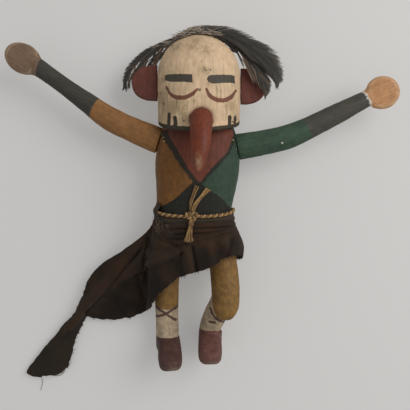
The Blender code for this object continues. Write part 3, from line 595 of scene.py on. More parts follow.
def finish_look(tree, shader, tint, numbers, height=None, strength=0.5, depth=0.0002):
    """Links the colour, sets the shader's uniform numbers, and bumps it by a height."""
    tree.links.new(tint, shader.inputs["Base Color"])
    for socket, value in numbers.items():
        shader.inputs[socket].default_value = value
    if height is not None:
        bump = add(tree, "ShaderNodeBump", {"Height": height, "Strength": strength,
                                            "Distance": depth})
        tree.links.new(bump.outputs[0], shader.inputs["Normal"])


def painted_wood(name, base, layers, grain_turn, roughness=0.62, gloss=0.22):
    """Mineral paint brushed thin on cottonwood root: it looks matt and chalky, streaked with
    the wood's grain, patchy where the patchy attribute says, and is rubbed through in specks.
    A layer is (distance attribute, colour, softness of its edge in mm, cover, how far its
    edge wanders in mm)."""
    paint = bpy.context.scene.doll_paint
    look, tree, shader = new_look(name)
    here = add(tree, "ShaderNodeTexCoord").outputs["Object"]
    edge = fractal(tree, here, 380, 3)
    cloudy = fractal(tree, here, 85, 5, 0.6)
    turned = add(tree, "ShaderNodeMapping", {"Vector": here, "Rotation": (0, 0, grain_turn)})
    drawn = add(tree, "ShaderNodeMapping", {"Vector": turned.outputs[0], "Scale": (1, 0.07, 1)})
    grain = fractal(tree, drawn.outputs[0], 900, 4, 0.65)
    fleck = fractal(tree, here, 520, 5, 0.7)
    off = maths(tree, "ADD", edge, -0.5)
    tint = base
    for attribute, painted, soft, cover, wander in layers:
        uneven = maths(tree, "MULTIPLY_ADD", off, wander, read(tree, attribute))
        tint = blend(tree, stepped(tree, uneven, soft, -soft, 0.0, cover), tint, painted)
    # worn specks, where the ground shows
    tint = blend(tree, stepped(tree, fleck, 0.70, 0.76, 0.0, 0.55), tint, paint.bare)
    # thin paint: clouded by the brush and streaked along the grain
    both = maths(tree, "MULTIPLY", stepped(tree, cloudy, 0.3, 0.7, 0.88, 1.08),
                 stepped(tree, grain, 0.3, 0.7, 0.83, 1.13))
    # patches of 2 to 4 mm, warmer where they are light
    patch = fractal(tree, here, 260, 5, 0.7)
    patchy = read(tree, "patchy")
    shares = [maths(tree, "MULTIPLY_ADD", stepped(tree, patch, 0.36, 0.64, low, high), patchy,
                    both) for low, high in ((-0.30, 0.32), (-0.32, 0.28), (-0.34, 0.20))]
    rough = stepped(tree, cloudy, 0.3, 0.7, roughness - 0.08, roughness + 0.14)
    tree.links.new(rough, shader.inputs["Roughness"])
    finish_look(tree, shader, shaded(tree, tint, shares), {"Specular IOR Level": gloss},
                maths(tree, "ADD", grain, fleck), 0.35)
    return look


# ---- root pieces ----

def paint_over(piece, patchy, layers):
    """Stores how patchy the paint is and how far each point lies past the edge of each layer,
    the second item of its row, and gives the layers as painted_wood takes them."""
    store(piece, "patchy", patchy + np.zeros(len(piece.data.vertices)))
    for name, past, *_ in layers:
        store(piece, name, past)
    return [(name, *look) for name, _, *look in layers]


def rim_height(y, z):
    """Height over the plane of the mask's lower rim."""
    dip = math.radians(RIM_DIP_DEG)
    return ((y - RIM_Y) + (z - HEAD_BACK - HEAD_DEPTH / 2) * math.tan(dip)) * math.cos(dip)


def capsule(x, y, z, start, end):
    """Distance to a straight line between two places."""
    start, end = np.array(start, float), np.array(end, float)
    line = end - start
    place = np.stack([x, y, z]) - start[:, None]
    share = np.clip((line @ place) / (line @ line), 0, 1)
    return np.linalg.norm(place - line[:, None] * share, axis=0)


class DOLL_OT_body(bpy.types.Operator):
    """Carves the body finer and paints the mask, chest, legs and moccasins"""
    bl_idname = "doll.body"
    bl_label = "Carve and paint the body"

    def execute(self, context):
        carving, paint = context.scene.doll_carving, context.scene.doll_paint

        def crisp(x, y, z):
            near_rim = np.abs(rim_height(y, z)) < 3
            at_sole = (y < -146) | (z < 1)
            return np.where(near_rim | at_sole, 0.2, 1.0)
        body = carve("body", carving.body_grid, carving.rounds, 0.0003, crisp)
        x, y, z = points_of(body)
        over = np.maximum(past_line(x, y, KNEE_CUT), 0) * 0.85
        over *= np.clip((-100 - y) / 6, 0, 1) * (x > 15) * (y > -130)
        x, y = x + KNEE_WAY[0] * over, y + KNEE_WAY[1] * over
        move_points(body, x, y, z)
        front = np.where(z > FRONT_Z, 0, FAR)
        rim = rim_height(y, z)
        bent = x > -5
        nearer_shin = capsule(x, y, z, *SHIN) - capsule(x, y, z, *THIGH)
        chips = np.minimum(spots(x, y, SEAM_CHIPS), to_line(x, y, SEAM_LINE) + 0.5)
        tabs = np.min([to_line(x, y, path) - half for path, half in TABS], axis=0) + front
        band = np.maximum(rim - 3.1, -0.9 - rim)
        eyes = np.min([to_shape(x, y, eye) for eye in EYES], axis=0)
        crescents = to_lines(x, y, [smooth(path, 5).tolist() for path in CRESCENTS])
        thick = 0.85 + 0.75 * np.clip((54.5 - y) / 5, 0, 1)
        around_beak = np.hypot(x - BEAK_ROOT[0], y - BEAK_ROOT[1]) - BEAK_ROOT[2]
        layers = paint_over(body, np.where(rim > 0, 0.12, np.where(y < LEGS_Y, 0.6, 0.35)), [
            ("green_side", -x, paint.green, 0.6, 1.0, 1.0),
            ("waist_black", to_shape(x, y, WAIST_BLACK) + np.where(z > WAIST_Z, 0, 6),
             paint.black, 0.4, 1.0, 1.6),
            ("chest_edge", to_shape(x, y, CHEST_EDGE) + front, paint.black, 0.9, 0.92, 3.4),
            ("chest_red", to_shape(x, y, CHEST_RED) + front, paint.red, 0.5, 1.0, 1.6),
            ("legs", y - LEGS_Y, paint.skin, 1.0, 1.0, 2.0),
            ("sock", np.where(bent, np.maximum(nearer_shin, y + 100), y - SOCK_TOP),
             paint.sock, 0.3, 1.0, 1.8),
            ("moccasin", np.where(bent, y - BENT_SOCK_END, y - SOCK_END),
             paint.moccasin, 0.3, 1.0, 2.8),
            ("soiled_moccasin", np.where(bent, FAR, y - SOCK_END),
             paint.soiled_moccasin, 0.3, 1.0, 2.8),
            ("toe_wear", spots(x, y, TOE_WEAR) + np.clip((FRONT_Z - z) / 3, 0, 8),
             paint.sock, 2.6, 0.38, 8.0),
            ("garter", to_lines(x, y, GARTERS) - 1.05 + front * (z < 18),
             paint.soiled_moccasin, 0.3, 0.95, 1.9),
            ("seam_chips", chips + front, paint.bare, 0.4, 0.85, 4.0),
            ("mask", -rim, paint.cream, 0.3, 1.0, 0.6),
            ("stains", spots(x, y, STAINS) + front, paint.stain, 3.4, 0.5, 10.0),
            ("drips", to_lines(x, y, DRIPS) - 0.4 + front, paint.stain, 0.5, 0.75, 1.8),
            ("rim", np.minimum(band, np.where(rim > 0, tabs, FAR)), paint.black, 0.35, 0.95, 1.2),
            ("eyes", eyes - 0.25 + front, paint.charcoal, 0.3, 0.97, 0.9),
            ("crescents", crescents - thick + front, paint.red, 0.3, 0.92, 0.8),
            ("specks", spots(x, y, SPECKS) + front, paint.black, 0.35, 0.75, 1.2),
            ("beak_ring", np.abs(around_beak) - 0.3 + np.where(rim > 0, 0, FAR) + front,
             paint.beak_red, 0.3, 0.8, 2.2),
        ])
        look = painted_wood("painted_cottonwood_body", paint.ochre, layers, 0.0)
        dress(body, "body", "painted_root", look)
        return {"FINISHED"}


def seat_in_shoulder(arm, side):
    """Draws an arm's sanded root into the glue on the body, so that no gap shows."""
    x, y, z = points_of(arm)
    move_points(arm, x - side * 1.6 * np.clip((42 - np.abs(x)) / 8, 0, 1), y, z)


class DOLL_OT_arms(bpy.types.Operator):
    """Carves both arms finer and paints their bands and hands, in paint lightened as painted
    light, with a painted highlight round each hand
    """
    bl_idname = "doll.arms"
    bl_label = "Carve and paint the arms"

    def execute(self, context):
        carving, paint = context.scene.doll_carving, context.scene.doll_paint
        # each arm's base and forearm paint is a lighter copy of the trunk's: painted light
        arms = [
            ("right_arm", -1, RIGHT_BAND, RIGHT_WRIST, RIGHT_HAND, 13.5, paint.lit_arm_ochre,
             paint.charcoal, paint.dark_hand, "ochre_arm", -1.02),
            ("left_arm", 1, LEFT_BAND, LEFT_WRIST, LEFT_HAND, 12.2, paint.lit_arm_green,
             paint.lit_arm_charcoal, paint.light_hand, "green_arm", 1.19),
        ]
        for node, side, band, wrist, middle, reach, base, dark, hand, slot, turn in arms:
            arm = carve(node, carving.small_grid, carving.rounds // 2, 0.0002,
                        lambda x, y, z: np.where(np.abs(x) < 41, 0.12, 1.0))
            seat_in_shoulder(arm, side)
            x, y, z = points_of(arm)
            past_wrist = side * past_line(x, y, wrist)
            rim = reach - 2.2 - np.hypot(x - middle[0], y - middle[1])
            layers = [
                ("band", side * past_line(x, y, band), dark, 0.3, 1.0, 1.2),
                ("hand", past_wrist, hand, 0.3, 1.0, 0.9),
                # painted highlight: a paler cream rim round the hand's outer edge
                ("hand_rim_highlight", np.maximum(rim, past_wrist + 4), paint.cream, 0.7, 0.25, 1.6),
            ]
            if side > 0:
                layers += [
                    ("white_spot", spots(x, y, [WHITE_SPOT]), paint.white, 0.2, 0.9, 0.3),
                    ("wrist_chips", np.abs(past_wrist) - 0.6, paint.white, 0.4, 0.75, 6.0),
                ]
            look = painted_wood("painted_cottonwood_" + node, base,
                                paint_over(arm, PATCHY, layers), turn)
            dress(arm, node, slot, look)
        return {"FINISHED"}


class DOLL_OT_ears(bpy.types.Operator):
    """Carves both ears finer and paints them"""
    bl_idname = "doll.ears"
    bl_label = "Carve and paint the ears"

    def execute(self, context):
        carving, paint = context.scene.doll_carving, context.scene.doll_paint
        look = painted_wood("painted_cottonwood_ears", paint.ear_red, [], 0.0, 0.6)
        for node in ("left_ear", "right_ear"):
            ear = carve(node, carving.small_grid, 4, 0.00003)
            paint_over(ear, PATCHY, [])
            dress(ear, node, "red_ear", look)
        return {"FINISHED"}


class DOLL_OT_beak(bpy.types.Operator):
    """Carves the beak finer and paints it, paler at the tip with rub wear and a painted highlight
    """
    bl_idname = "doll.beak"
    bl_label = "Carve and paint the beak"

    def execute(self, context):
        carving, paint = context.scene.doll_carving, context.scene.doll_paint
        beak = carve("beak", carving.small_grid, carving.rounds // 2, 0.0002)
        x, y, z = points_of(beak)
        # the upper side of the tip painted paler: rub wear and a painted highlight
        worn = np.hypot(x - BEAK_TIP[0], (y - BEAK_TIP[1]) * 0.42) - 0.9 + np.where(z > 62, 0, 9)
        layers = paint_over(beak, PATCHY, [("tip_wear_and_highlight", worn, paint.bare, 3.2, 0.62, 5.0)])
        look = painted_wood("painted_cottonwood_beak", paint.beak_red, layers, 0.0, 0.55)
        dress(beak, "beak", "red_beak", look)
        return {"FINISHED"}


# ---- feathers ----

def off_crown(degrees, clear, z):
    """The x and y of a place clear of the crown; 0 is over the crown's middle."""
    share = math.sqrt(1 - ((z - HEAD_BACK - HEAD_DEPTH / 2) / (HEAD_DEPTH / 2)) ** 2)
    angle = math.radians(degrees)
    return (HEAD_X + (HEAD_WIDTH / 2 * share + clear) * math.sin(angle),
            DOME_Y + (DOME_HEIGHT * share + clear) * math.cos(angle))


def feather_line(rows, z, droop):
    """Places along a feather's shaft in metres, with the vane's half width."""
    line = []
    for degrees, gap, half_width in smooth(rows, 10):
        line.append((*off_crown(degrees, 0.3 + gap + half_width, z),
                     z - droop * (1 - math.cos(math.radians(degrees))), half_width))
    return np.array(line) * MM


def feather_look():
    """Keratin feather vane, dark and faded: silky along the barbs, brown where it is thin."""
    colours = bpy.context.scene.doll_dress
    look, tree, shader = new_look("feather_vane")
    tone = read(tree, "tone")
    dark = blend(tree, stepped(tree, tone, 0.72, 0.9), colours.feather, colours.feather_brown)
    faded = blend(tree, stepped(tree, tone, 0.28, 0.05), dark, colours.feather_grey)
    paler = stepped(tree, read(tree, "along"), 0.5, 1.0, 0.0, 0.24)
    finish_look(tree, shader, blend(tree, paler, faded, colours.feather_grey),
                {"Roughness": 0.5, "Specular IOR Level": 0.3, "Sheen Weight": 0.08,
                 "Sheen Roughness": 0.4})
    return look


def grow_feather(rows, z, droop, inner, outer, parted, split, open_deg, grey_to, brown, seed):
    """Strands of one feather: its shaft and the barbs on both sides of it. inner and outer are
    the barbs' reach on the head's side and away from it, parted how unevenly they lie, split
    how far they have run together into points, open_deg how far the first barbs stand off the
    shaft, grey_to the share of its length, from the root, that has faded, and brown the share
    of the barbs on the head's side that are brown."""
    rng = random.Random(seed)
    pitch = bpy.context.scene.doll_dress.barb_pitch
    line = feather_line(rows, z, droop)
    steps = np.linalg.norm(np.diff(line[:, :3], axis=0), axis=1)
    run = np.concatenate([[0], np.cumsum(steps)])
    end = run[-1]
    feather = Strands()
    up = Vector((0, 0, 1))
    shaft = [0.00045 * (1 - 0.75 * s / end) for s in run]
    feather.add(line[:, :3], shaft, sides=6, flat=0.8, up=up, tone=0.55)
    for side, reach in ((1, outer), (-1, inner)):
        clump_left, clump_size, lean, clump_tone, is_brown, kept = 0, 1, 0.0, 0.5, False, 1.0
        for s in np.arange(0, end * 0.985, pitch):
            if clump_left <= 0:
                clump_left = clump_size = rng.randint(6, 14) if side < 0 else rng.randint(4, 12)
                lean = rng.uniform(-1, 1) * parted
                clump_tone = rng.random()
                is_brown = rng.random() < brown * (1.0 if side < 0 else 0.15)
                kept = 0.16 if side < 0 and kept == 1.0 and rng.random() < split else 1.0
            clump_left -= 1
            place = [np.interp(s, run, line[:, k]) for k in range(4)]
            ahead = Vector([np.interp(s + pitch, run, line[:, k]) - place[k] for k in range(3)])
            if ahead.length == 0:
                continue
            ahead.normalize()
            share = s / end
            out = up.cross(ahead).normalized() * side
            if out.dot(Vector((place[0] - HEAD_X * MM, place[1] - DOME_Y * MM, 0))) * side < 0:
                out = -out
            wild = 0.5 if side < 0 else 0.12
            angle = math.radians(open_deg * (1 - 0.4 * share)) + wild * (
                0.2 * lean + split * (0.5 - clump_left / clump_size))
            angle = max(angle, 0.4 if side < 0 else 0.2)
            # a barb stops where it meets the vane's outline
            slope = math.sin(0.78 * angle)
            length = place[3] * reach / slope
            for _ in range(5):
                ahead_by = min(s + length * math.cos(0.78 * angle), end)
                length = (length + np.interp(ahead_by, run, line[:, 3]) * reach / slope) / 2
            length = min(length, end - s + 2.2 * MM) * rng.uniform(0.9, 1.04) * kept
            start = Vector(place[:3])
            path, widths = [], []
            rise = rng.uniform(-0.25, 0.3) * MM
            for k in range(6):
                t = k / 5
                bend = angle * (1 - 0.45 * t)
                step = ahead * math.cos(bend) + out * math.sin(bend)
                if k:
                    start = start + step * length / 5
                path.append(start + up * (rise * t - length * 0.05 * t * t))
                widths.append(pitch * BARB_WIDTHS[k])
            faded = max(0.0, 1 - share / grey_to) if grey_to else 0.0
            tone = 0.5 + 0.24 * (clump_tone - 0.5) + rng.uniform(-0.08, 0.08)
            if is_brown or rng.random() < 0.03:
                tone = rng.uniform(0.72, 0.95)
            if 0.7 * rng.random() + 0.3 * clump_tone < faded:
                tone = rng.uniform(-0.1, 0.26)
            feather.add(path, widths, sides=4, flat=0.28, up=up, tone=tone)
    return feather


def add_down(feather, z, count, low_deg, high_deg, tones, seed):
    """Soft down over the crown, where the quills are tied down."""
    rng = random.Random(seed)
    for _ in range(count):
        degrees = rng.uniform(low_deg, high_deg)
        angle = math.radians(degrees)
        clear = rng.uniform(0.6, 4.2)
        place = Vector((*off_crown(degrees, clear, z), z + rng.uniform(-3.5, 3.0))) * MM
        heading = Vector((math.cos(angle), -math.sin(angle), 0)) * rng.choice((-1, 1))
        outward = Vector((math.sin(angle), math.cos(angle), 0))
        tilt = rng.uniform(-0.05, 0.5)
        length = rng.uniform(3, 7.5) * MM
        path = [place + heading * length * t + outward * length * tilt * t * t
                + Vector((0, 0, rng.uniform(-0.25, 0.25) * MM)) for t in (0, 0.25, 0.5, 0.75, 1)]
        feather.add(path, [share * MM for share in DOWN_WIDTHS], sides=4, flat=0.5,
                    up=Vector((0, 0, 1)), tone=rng.uniform(*tones))


def strands_over_head(feather):
    """A few thin brown strands that fall from the crown over the dome."""
    rng = random.Random(8)
    for _ in range(14):
        off, last = rng.uniform(-1.6, 1.6), rng.uniform(-3.2, 2.4)
        long_by = rng.uniform(0.4, 1.0)
        path = smooth(OVER_HEAD, 4) * MM
        path = path[:max(5, int(len(path) * long_by))]
        across = np.linspace(off, last, len(path))[:, None] * np.array([[0.9, 0.35, 0.1]]) * MM
        widths = [0.00026 - 0.0002 * i / (len(path) - 1) for i in range(len(path))]
        feather.add(path + across, widths, sides=5, flat=0.6, tone=rng.uniform(0.55, 1.0))


class DOLL_OT_feathers(bpy.types.Operator):
    """Grows the four feathers, barb by barb"""
    bl_idname = "doll.feathers"
    bl_label = "Grow the feathers"

    def execute(self, context):
        look = feather_look()
        for node, (growth, down) in FEATHERS.items():
            feather = grow_feather(**growth)
            if down:
                add_down(feather, **down)
            if node == "short_right_feather":
                strands_over_head(feather)
            dress(feather.piece("vane_" + node), node, "feather", look)
        return {"FINISHED"}


# ---- cord ----

def trunk_at(y):
    """(centre x, half width, back z, front z) of the trunk at a height, in millimetres."""
    rows = smooth(TRUNK, 8)[::-1]
    return [np.interp(y, rows[:, 0], rows[:, k]) for k in range(1, 5)]


def around_trunk(y, degrees, outward):
    """A place outward of the trunk; 0 is the doll's left side and 90 its front."""
    x, half_width, back, front = trunk_at(y)
    angle = math.radians(degrees)

    def rounded(value):
        return math.copysign(abs(value) ** (2 / TRUNK_SQUARENESS), value)
    return [x + (half_width + outward) * rounded(math.cos(angle)), y,
            (front + back) / 2 + ((front - back) / 2 + outward) * rounded(math.sin(angle))]


def belt_height(degrees):
    return BELT_Y - BELT_SAG * max(0, math.sin(math.radians(degrees)))


def lay_rope(strands, path, diameter, pitch, rng, up=None):
    """Two plies twisted round each other along a path in metres."""
    path = [Vector(point) for point in path]
    run = [0.0]
    for here, there in zip(path, path[1:]):
        run.append(run[-1] + (there - here).length)
    radius = diameter / 4
    for ply in range(2):
        twisted, widths = [], []
        for i, (place, (across, deep)) in enumerate(zip(path, frames(path, up))):
            angle = 2 * math.pi * (run[i] / pitch + ply / 2)
            twisted.append(place + (across * math.cos(angle) + deep * math.sin(angle)) * radius)
            widths.append(radius * (1.12 + 0.1 * noise.noise(place * 400)))
        strands.add(twisted, widths, sides=8, tone=0.35 + 0.3 * ply + rng.uniform(-0.1, 0.1))


def cord_look():
    """Two-ply plant-fibre string, twisted by hand: fibrous, matt, soiled between the plies."""
    colours = bpy.context.scene.doll_dress
    look, tree, shader = new_look("twisted_plant_fibre_cord")
    here = add(tree, "ShaderNodeTexCoord").outputs["Object"]
    soiled = maths(tree, "ADD", fractal(tree, here, 260, 4), read(tree, "tone"))
    tint = blend(tree, stepped(tree, soiled, 0.7, 1.3), colours.cord_dark, colours.cord)
    finish_look(tree, shader, tint, {"Roughness": 0.85, "Specular IOR Level": 0.3},
                fractal(tree, here, 2200, 3), 0.6)
    return look


def tie_knot(belt, knot, rng):
    """One closed run of the two-ply cord, crossing itself three times."""
    tied = []
    for i in range(91):
        t = 2 * math.pi * i / 90
        tied.append(knot + Vector((1.5 * (math.sin(t) + 2 * math.sin(2 * t)),
                                   1.2 * (math.cos(t) - 2 * math.cos(2 * t)),
                                   -1.0 * math.sin(3 * t))))
    lay_rope(belt, [point * MM for point in tied], 2.6 * MM, 4.4 * MM, rng)


def fray_ends(belt, knot, rng):
    """The cord's two ends over the knot, run out into strands."""
    for steps, count, spread in BELT_ENDS:
        for strand in range(count):
            offset = (strand / (count - 1) - 0.5) * spread
            rows = []
            for share, (right, upward) in zip(BELT_END_FAN, [(0, 0)] + steps):
                fan = offset * share
                y = knot.y + upward - fan * 0.4
                rows.append((knot.x + right + fan * 0.9 + rng.uniform(-0.25, 0.25), y,
                             trunk_at(y)[3] + 1.3 + rng.uniform(0, 0.9)))
            path = smooth(rows, 6) * MM
            belt.add(path, [rng.uniform(0.2, 0.32) * MM] * len(path), tone=rng.uniform(0.0, 1.0))


def hang_tassel(belt, knot, rng):
    """Strands that spread under the knot, bound at their neck by three turns of thread."""
    for _ in range(TASSEL_STRANDS):
        around = rng.uniform(0, 2 * math.pi)
        out = math.sqrt(rng.random())
        u, w = out * math.cos(around), out * math.sin(around)
        rows = []
        uneven = rng.uniform(-0.12, 0.08)
        for share, wide in TASSEL:
            share += uneven * (share == 1)
            y = knot.y - 1.5 - TASSEL_LENGTH * share
            cloth = max(trunk_at(max(y, HIPS_Y))[3] + KILT_RISE + 2.6 + 3.4 * share, knot.z)
            rows.append((knot.x - 2.4 * share + u * wide, y, cloth + (w + 1) * wide * 0.5))
        path = smooth(rows, 4) * MM
        belt.add(path, [rng.uniform(0.24, 0.36) * MM] * len(path), sides=5,
                 tone=rng.uniform(0.15, 1.1))
    neck = []
    for i in range(61):
        t = 2 * math.pi * i / 20
        neck.append(((knot.x - 0.4) + 1.7 * math.cos(t), knot.y - 6.2 + 0.55 * i / 20,
                     knot.z + 2.0 + 1.5 * math.sin(t)))
    belt.add(np.array(neck) * MM, [0.42 * MM] * 61, tone=0.3)


class DOLL_OT_belt(bpy.types.Operator):
    """Twists the belt's cord and ties its knot, frayed ends and tassel"""
    bl_idname = "doll.belt"
    bl_label = "Twist and tie the belt"

    def execute(self, context):
        settings = context.scene.doll_dress
        rng = random.Random(21)
        belt = Strands()
        radius = settings.cord_diameter / 2 / MM
        turns = [97 + 360 * i / 420 for i in range(421)]
        loop = [around_trunk(belt_height(d), d, radius + 0.3) for d in turns]
        lay_rope(belt, np.array(loop) * MM, settings.cord_diameter, settings.cord_pitch, rng,
                 up=Vector((0, 1, 0)))
        knot = Vector((KNOT_X, BELT_Y - BELT_SAG, trunk_at(BELT_Y - BELT_SAG)[3] + 3.0))
        for make in (tie_knot, fray_ends, hang_tassel):
            make(belt, knot, rng)
        dress(belt.piece("twisted_belt"), "belt", "cord", cord_look())
        return {"FINISHED"}


# ---- kilt ----

def fold_lift(x, y, rows):
    """How far the folds lift, or the creases sink, the cloth at each place."""
    lift = np.zeros(x.shape)
    for x1, y1, x2, y2, height, half_width in rows:
        away = to_line(x, y, [(x1, y1), (x2, y2)])
        bump = height * np.exp(-((away / half_width) ** 2))
        lift = np.maximum(lift, bump) if height > 0 else np.minimum(lift, bump)
    return lift


def lap_lift(x, y):
    """How far the laps lift the cloth: steep at their edge and long behind it."""
    lift = np.zeros(x.shape)
    for path, height, left, right in KILT_LAPS:
        nearest, side = np.full(x.shape, float(FAR)), np.zeros(x.shape)
        for line in zip(path, path[1:]):
            near = to_line(x, y, line)
            side = np.where(near < nearest, past_line(x, y, line), side)
            nearest = np.minimum(near, nearest)
        falls = np.where(side > 0, right, left)
        lift = np.maximum(lift, height * np.exp(-((nearest / falls) ** 2)))
    return lift


def kilt_sheet():
    """The cloth's middle in millimetres, as columns of points from its top edge to its hem."""
    columns = []
    for degrees, hem, flare in KILT_WRAP:
        top = belt_height(degrees) - KILT_TOP_DROP
        low = BELT_Y - hem
        column = []
        for share in np.linspace(0, 1, 9):
            y = top + (low - top) * share
            place = around_trunk(max(y, HIPS_Y), degrees, KILT_RISE + flare * share)
            column.append((place[0], y, place[2]))
        columns.append(column)
    hip = around_trunk(TAIL_FROM_Y, 180, KILT_RISE)
    for upper, lower in KILT_TAIL:
        top, low = (np.array([hip[0] + right, hip[1] + above, z])
                    for right, above, z in (upper, lower))
        column = []
        for share in np.linspace(0, 1, 9):
            place = top + (low - top) * share
            place[2] += KILT_PUFF * math.sin(math.pi * share)
            column.append(tuple(place))
        columns.append(column)
    wide = np.array([smooth(row, STEPS_ALONG) for row in zip(*columns)])
    return np.array([smooth(wide[:, k], STEPS_DOWN) for k in range(wide.shape[1])])


def noise_at(points, wave, seed):
    """Smooth noise at each point; wave is its length along x, y and z in millimetres."""
    return np.array([noise.noise(Vector((p[0] / wave[0] + seed, p[1] / wave[1], p[2] / wave[2])))
                     for p in points])


def cloth_look(pitch):
    """Plain-woven wool, dyed dark brown: it drinks the light, with a faint bloom at the edges,
    and its top is stiff with rubbed-in paint. Painted shade darkens its creases, and its raised
    folds and laps are painted lighter, as rub wear and painted highlight."""
    colours = bpy.context.scene.doll_dress
    look, tree, shader = new_look("brown_woven_wool")
    here = add(tree, "ShaderNodeTexCoord").outputs["Object"]
    flat = add(tree, "ShaderNodeUVMap", uv_map="weave").outputs[0]
    # a wave runs through one turn every 2 pi / (20 x scale) metres
    turn = 2 * math.pi / (20 * pitch)
    warp, weft = [
        add(tree, "ShaderNodeTexWave", {"Vector": flat, "Scale": turn, "Distortion": 1.2,
                                        "Detail Scale": 2.0}, bands_direction=way).outputs[1]
        for way in ("X", "Y")
    ]
    weave = maths(tree, "MAXIMUM", warp, weft)
    patch = fractal(tree, here, 60, 4)
    # the paint rubbed into the cloth and its worn part, by how far each lies down from the top
    rubbed = maths(tree, "MULTIPLY_ADD", patch, 9.0, read(tree, "waist"))
    tint = blend(tree, stepped(tree, patch, 0.35, 0.65), colours.cloth_dark_and_crease_shade, colours.cloth)
    for share, stain in (
            (stepped(tree, fractal(tree, here, 38, 3), 0.55, 0.72, 0.0, 0.7), colours.cloth_red),
            (stepped(tree, rubbed, 10.6, 6.0, 0.0, 0.9), colours.waist),
            (read(tree, "tail"), colours.cloth_tail),
            (stepped(tree, rubbed, 25, 15, 0.0, 0.4), colours.cloth_worn_and_fold_highlight),
            # raised folds and laps painted lighter: rub wear and painted highlight
            (stepped(tree, read(tree, "ridge"), 0.45, 1.0, 0.0, 0.5), colours.cloth_worn_and_fold_highlight),
            # painted shade in the creases
            (stepped(tree, read(tree, "hollow"), 0.15, 1.1, 0.0, 0.45), colours.cloth_dark_and_crease_shade)):
        tint = blend(tree, share, tint, stain)
    lit = stepped(tree, weave, 0.2, 0.9, 0.72, 1.25)
    finish_look(tree, shader, shaded(tree, tint, (lit, lit, lit)),
                {"Roughness": 0.92, "Specular IOR Level": 0.12, "Sheen Weight": 0.03,
                 "Sheen Roughness": 0.6},
                maths(tree, "MULTIPLY_ADD", fractal(tree, here, 1500, 3), 0.6, weave),
                depth=0.0003)
    return look


def thread_look():
    """Loose wool thread and string fluff: matt, from the cloth's brown to a faded grey-brown."""
    colours = bpy.context.scene.doll_dress
    look, tree, shader = new_look("loose_wool_thread")
    tint = blend(tree, stepped(tree, read(tree, "tone"), 0.3, 0.9), colours.cloth, colours.fluff)
    finish_look(tree, shader, tint, {"Roughness": 0.9})
    return look


def fold_cloth(grid):
    """The cloth with its folds, laps, creases and unevenness, and how hollow and how raised
    each point is: the kilt's colour darkens the hollows as painted shade and lightens the raised
    folds as rub wear and painted highlight."""
    columns, rows = grid.shape[:2]
    flat = grid.reshape(-1, 3)
    x, y = flat[:, 0], flat[:, 1]
    share = np.tile(np.linspace(0, 1, rows), columns)
    outward = np.cross(np.gradient(grid, axis=0), np.gradient(grid, axis=1)).reshape(-1, 3)
    outward /= np.maximum(np.linalg.norm(outward, axis=1), 1e-9)[:, None]
    if outward.reshape(grid.shape)[columns // 3, 4, 2] < 0:
        outward = -outward
    faces_up = np.clip(outward[:, 2] * 2, 0, 1)
    near_belt = np.clip(1 - share / 0.4, 0, 1)
    folded = faces_up * fold_lift(x, y, KILT_FOLDS)
    creased = np.minimum(fold_lift(x, y, KILT_CREASES), 0) * faces_up
    lapped = lap_lift(x, y) * faces_up
    lift = 0.3 + 1.5 * np.clip(share * 2, 0, 1)
    lift += folded
    lift += creased + lapped
    lift += 0.9 * (0.3 + share) * noise_at(flat, (11, 13, 11), 3.0)
    lift += 0.4 * noise_at(flat, (4.2, 5.5, 4.2), 9.0)
    lift += 1.2 * near_belt * noise_at(flat, (13, 2.4, 13), 17.0)
    flat = flat + outward * np.maximum(lift, -0.25)[:, None]
    return flat.reshape(grid.shape), -creased / 2, lapped / 2 + folded / 4


def tear_edge(lines, back, wave, seed, depth, parts):
    """Has the last of the lines wander, as a torn edge does, and those before it by their part.
    Gives the way out of the cloth at each point of the edge."""
    out = lines[-1] - lines[-back]
    out /= np.linalg.norm(out, axis=1)[:, None]
    torn = noise_at(lines[-1], (wave, wave, wave), seed) * depth
    for line, part in zip(lines[::-1], parts):
        line += out * (torn * part)[:, None]
    return out


def map_weave(kilt, grid):
    """Gives the cloth its own map, in metres along and down it, and returns how far down each
    point lies, in millimetres."""
    columns, rows = grid.shape[:2]
    lengths = np.linalg.norm(np.diff(grid[:, rows // 2], axis=0), axis=1)
    run = np.concatenate([[0], np.cumsum(lengths)]) * MM
    drops = np.linalg.norm(np.diff(grid, axis=1), axis=2)
    fall = np.concatenate([np.zeros((columns, 1)), np.cumsum(drops, axis=1)], axis=1) * MM
    corner = np.empty(len(kilt.data.loops), np.int32)
    kilt.data.loops.foreach_get("vertex_index", corner)
    spread = np.stack([np.repeat(run, rows)[corner], fall.reshape(-1)[corner]], axis=1)
    weave = kilt.data.uv_layers.new(name="weave")
    weave.data.foreach_set("uv", spread.astype(np.float32).reshape(-1))
    return fall.reshape(-1) / MM


def fray_hem(loose, rng, grid, hang):
    for _ in range(HEM_FRAYS):
        i = rng.randrange(4, len(grid) - 4)
        start = Vector(grid[i, -1])
        side = Vector(grid[i + 2, -1] - grid[i - 2, -1]).normalized()
        heading = (Vector(hang[i]) + side * rng.uniform(-1.1, 1.1)).normalized()
        length = rng.uniform(0.8, 2.6)
        curl = side * rng.uniform(-0.5, 0.5) + Vector((0, 0, rng.uniform(-0.3, 0.3)))
        path = [(start - heading * 0.8 + heading * (length + 0.8) * t + curl * length * t * t)
                for t in (0, 0.35, 0.7, 1)]
        path = [Vector((p.x, p.y, max(p.z, 0.3))) * MM for p in path]
        loose.add(path, [0.00016, 0.00016, 0.00014, 0.00008], sides=4, tone=rng.uniform(0, 0.7))


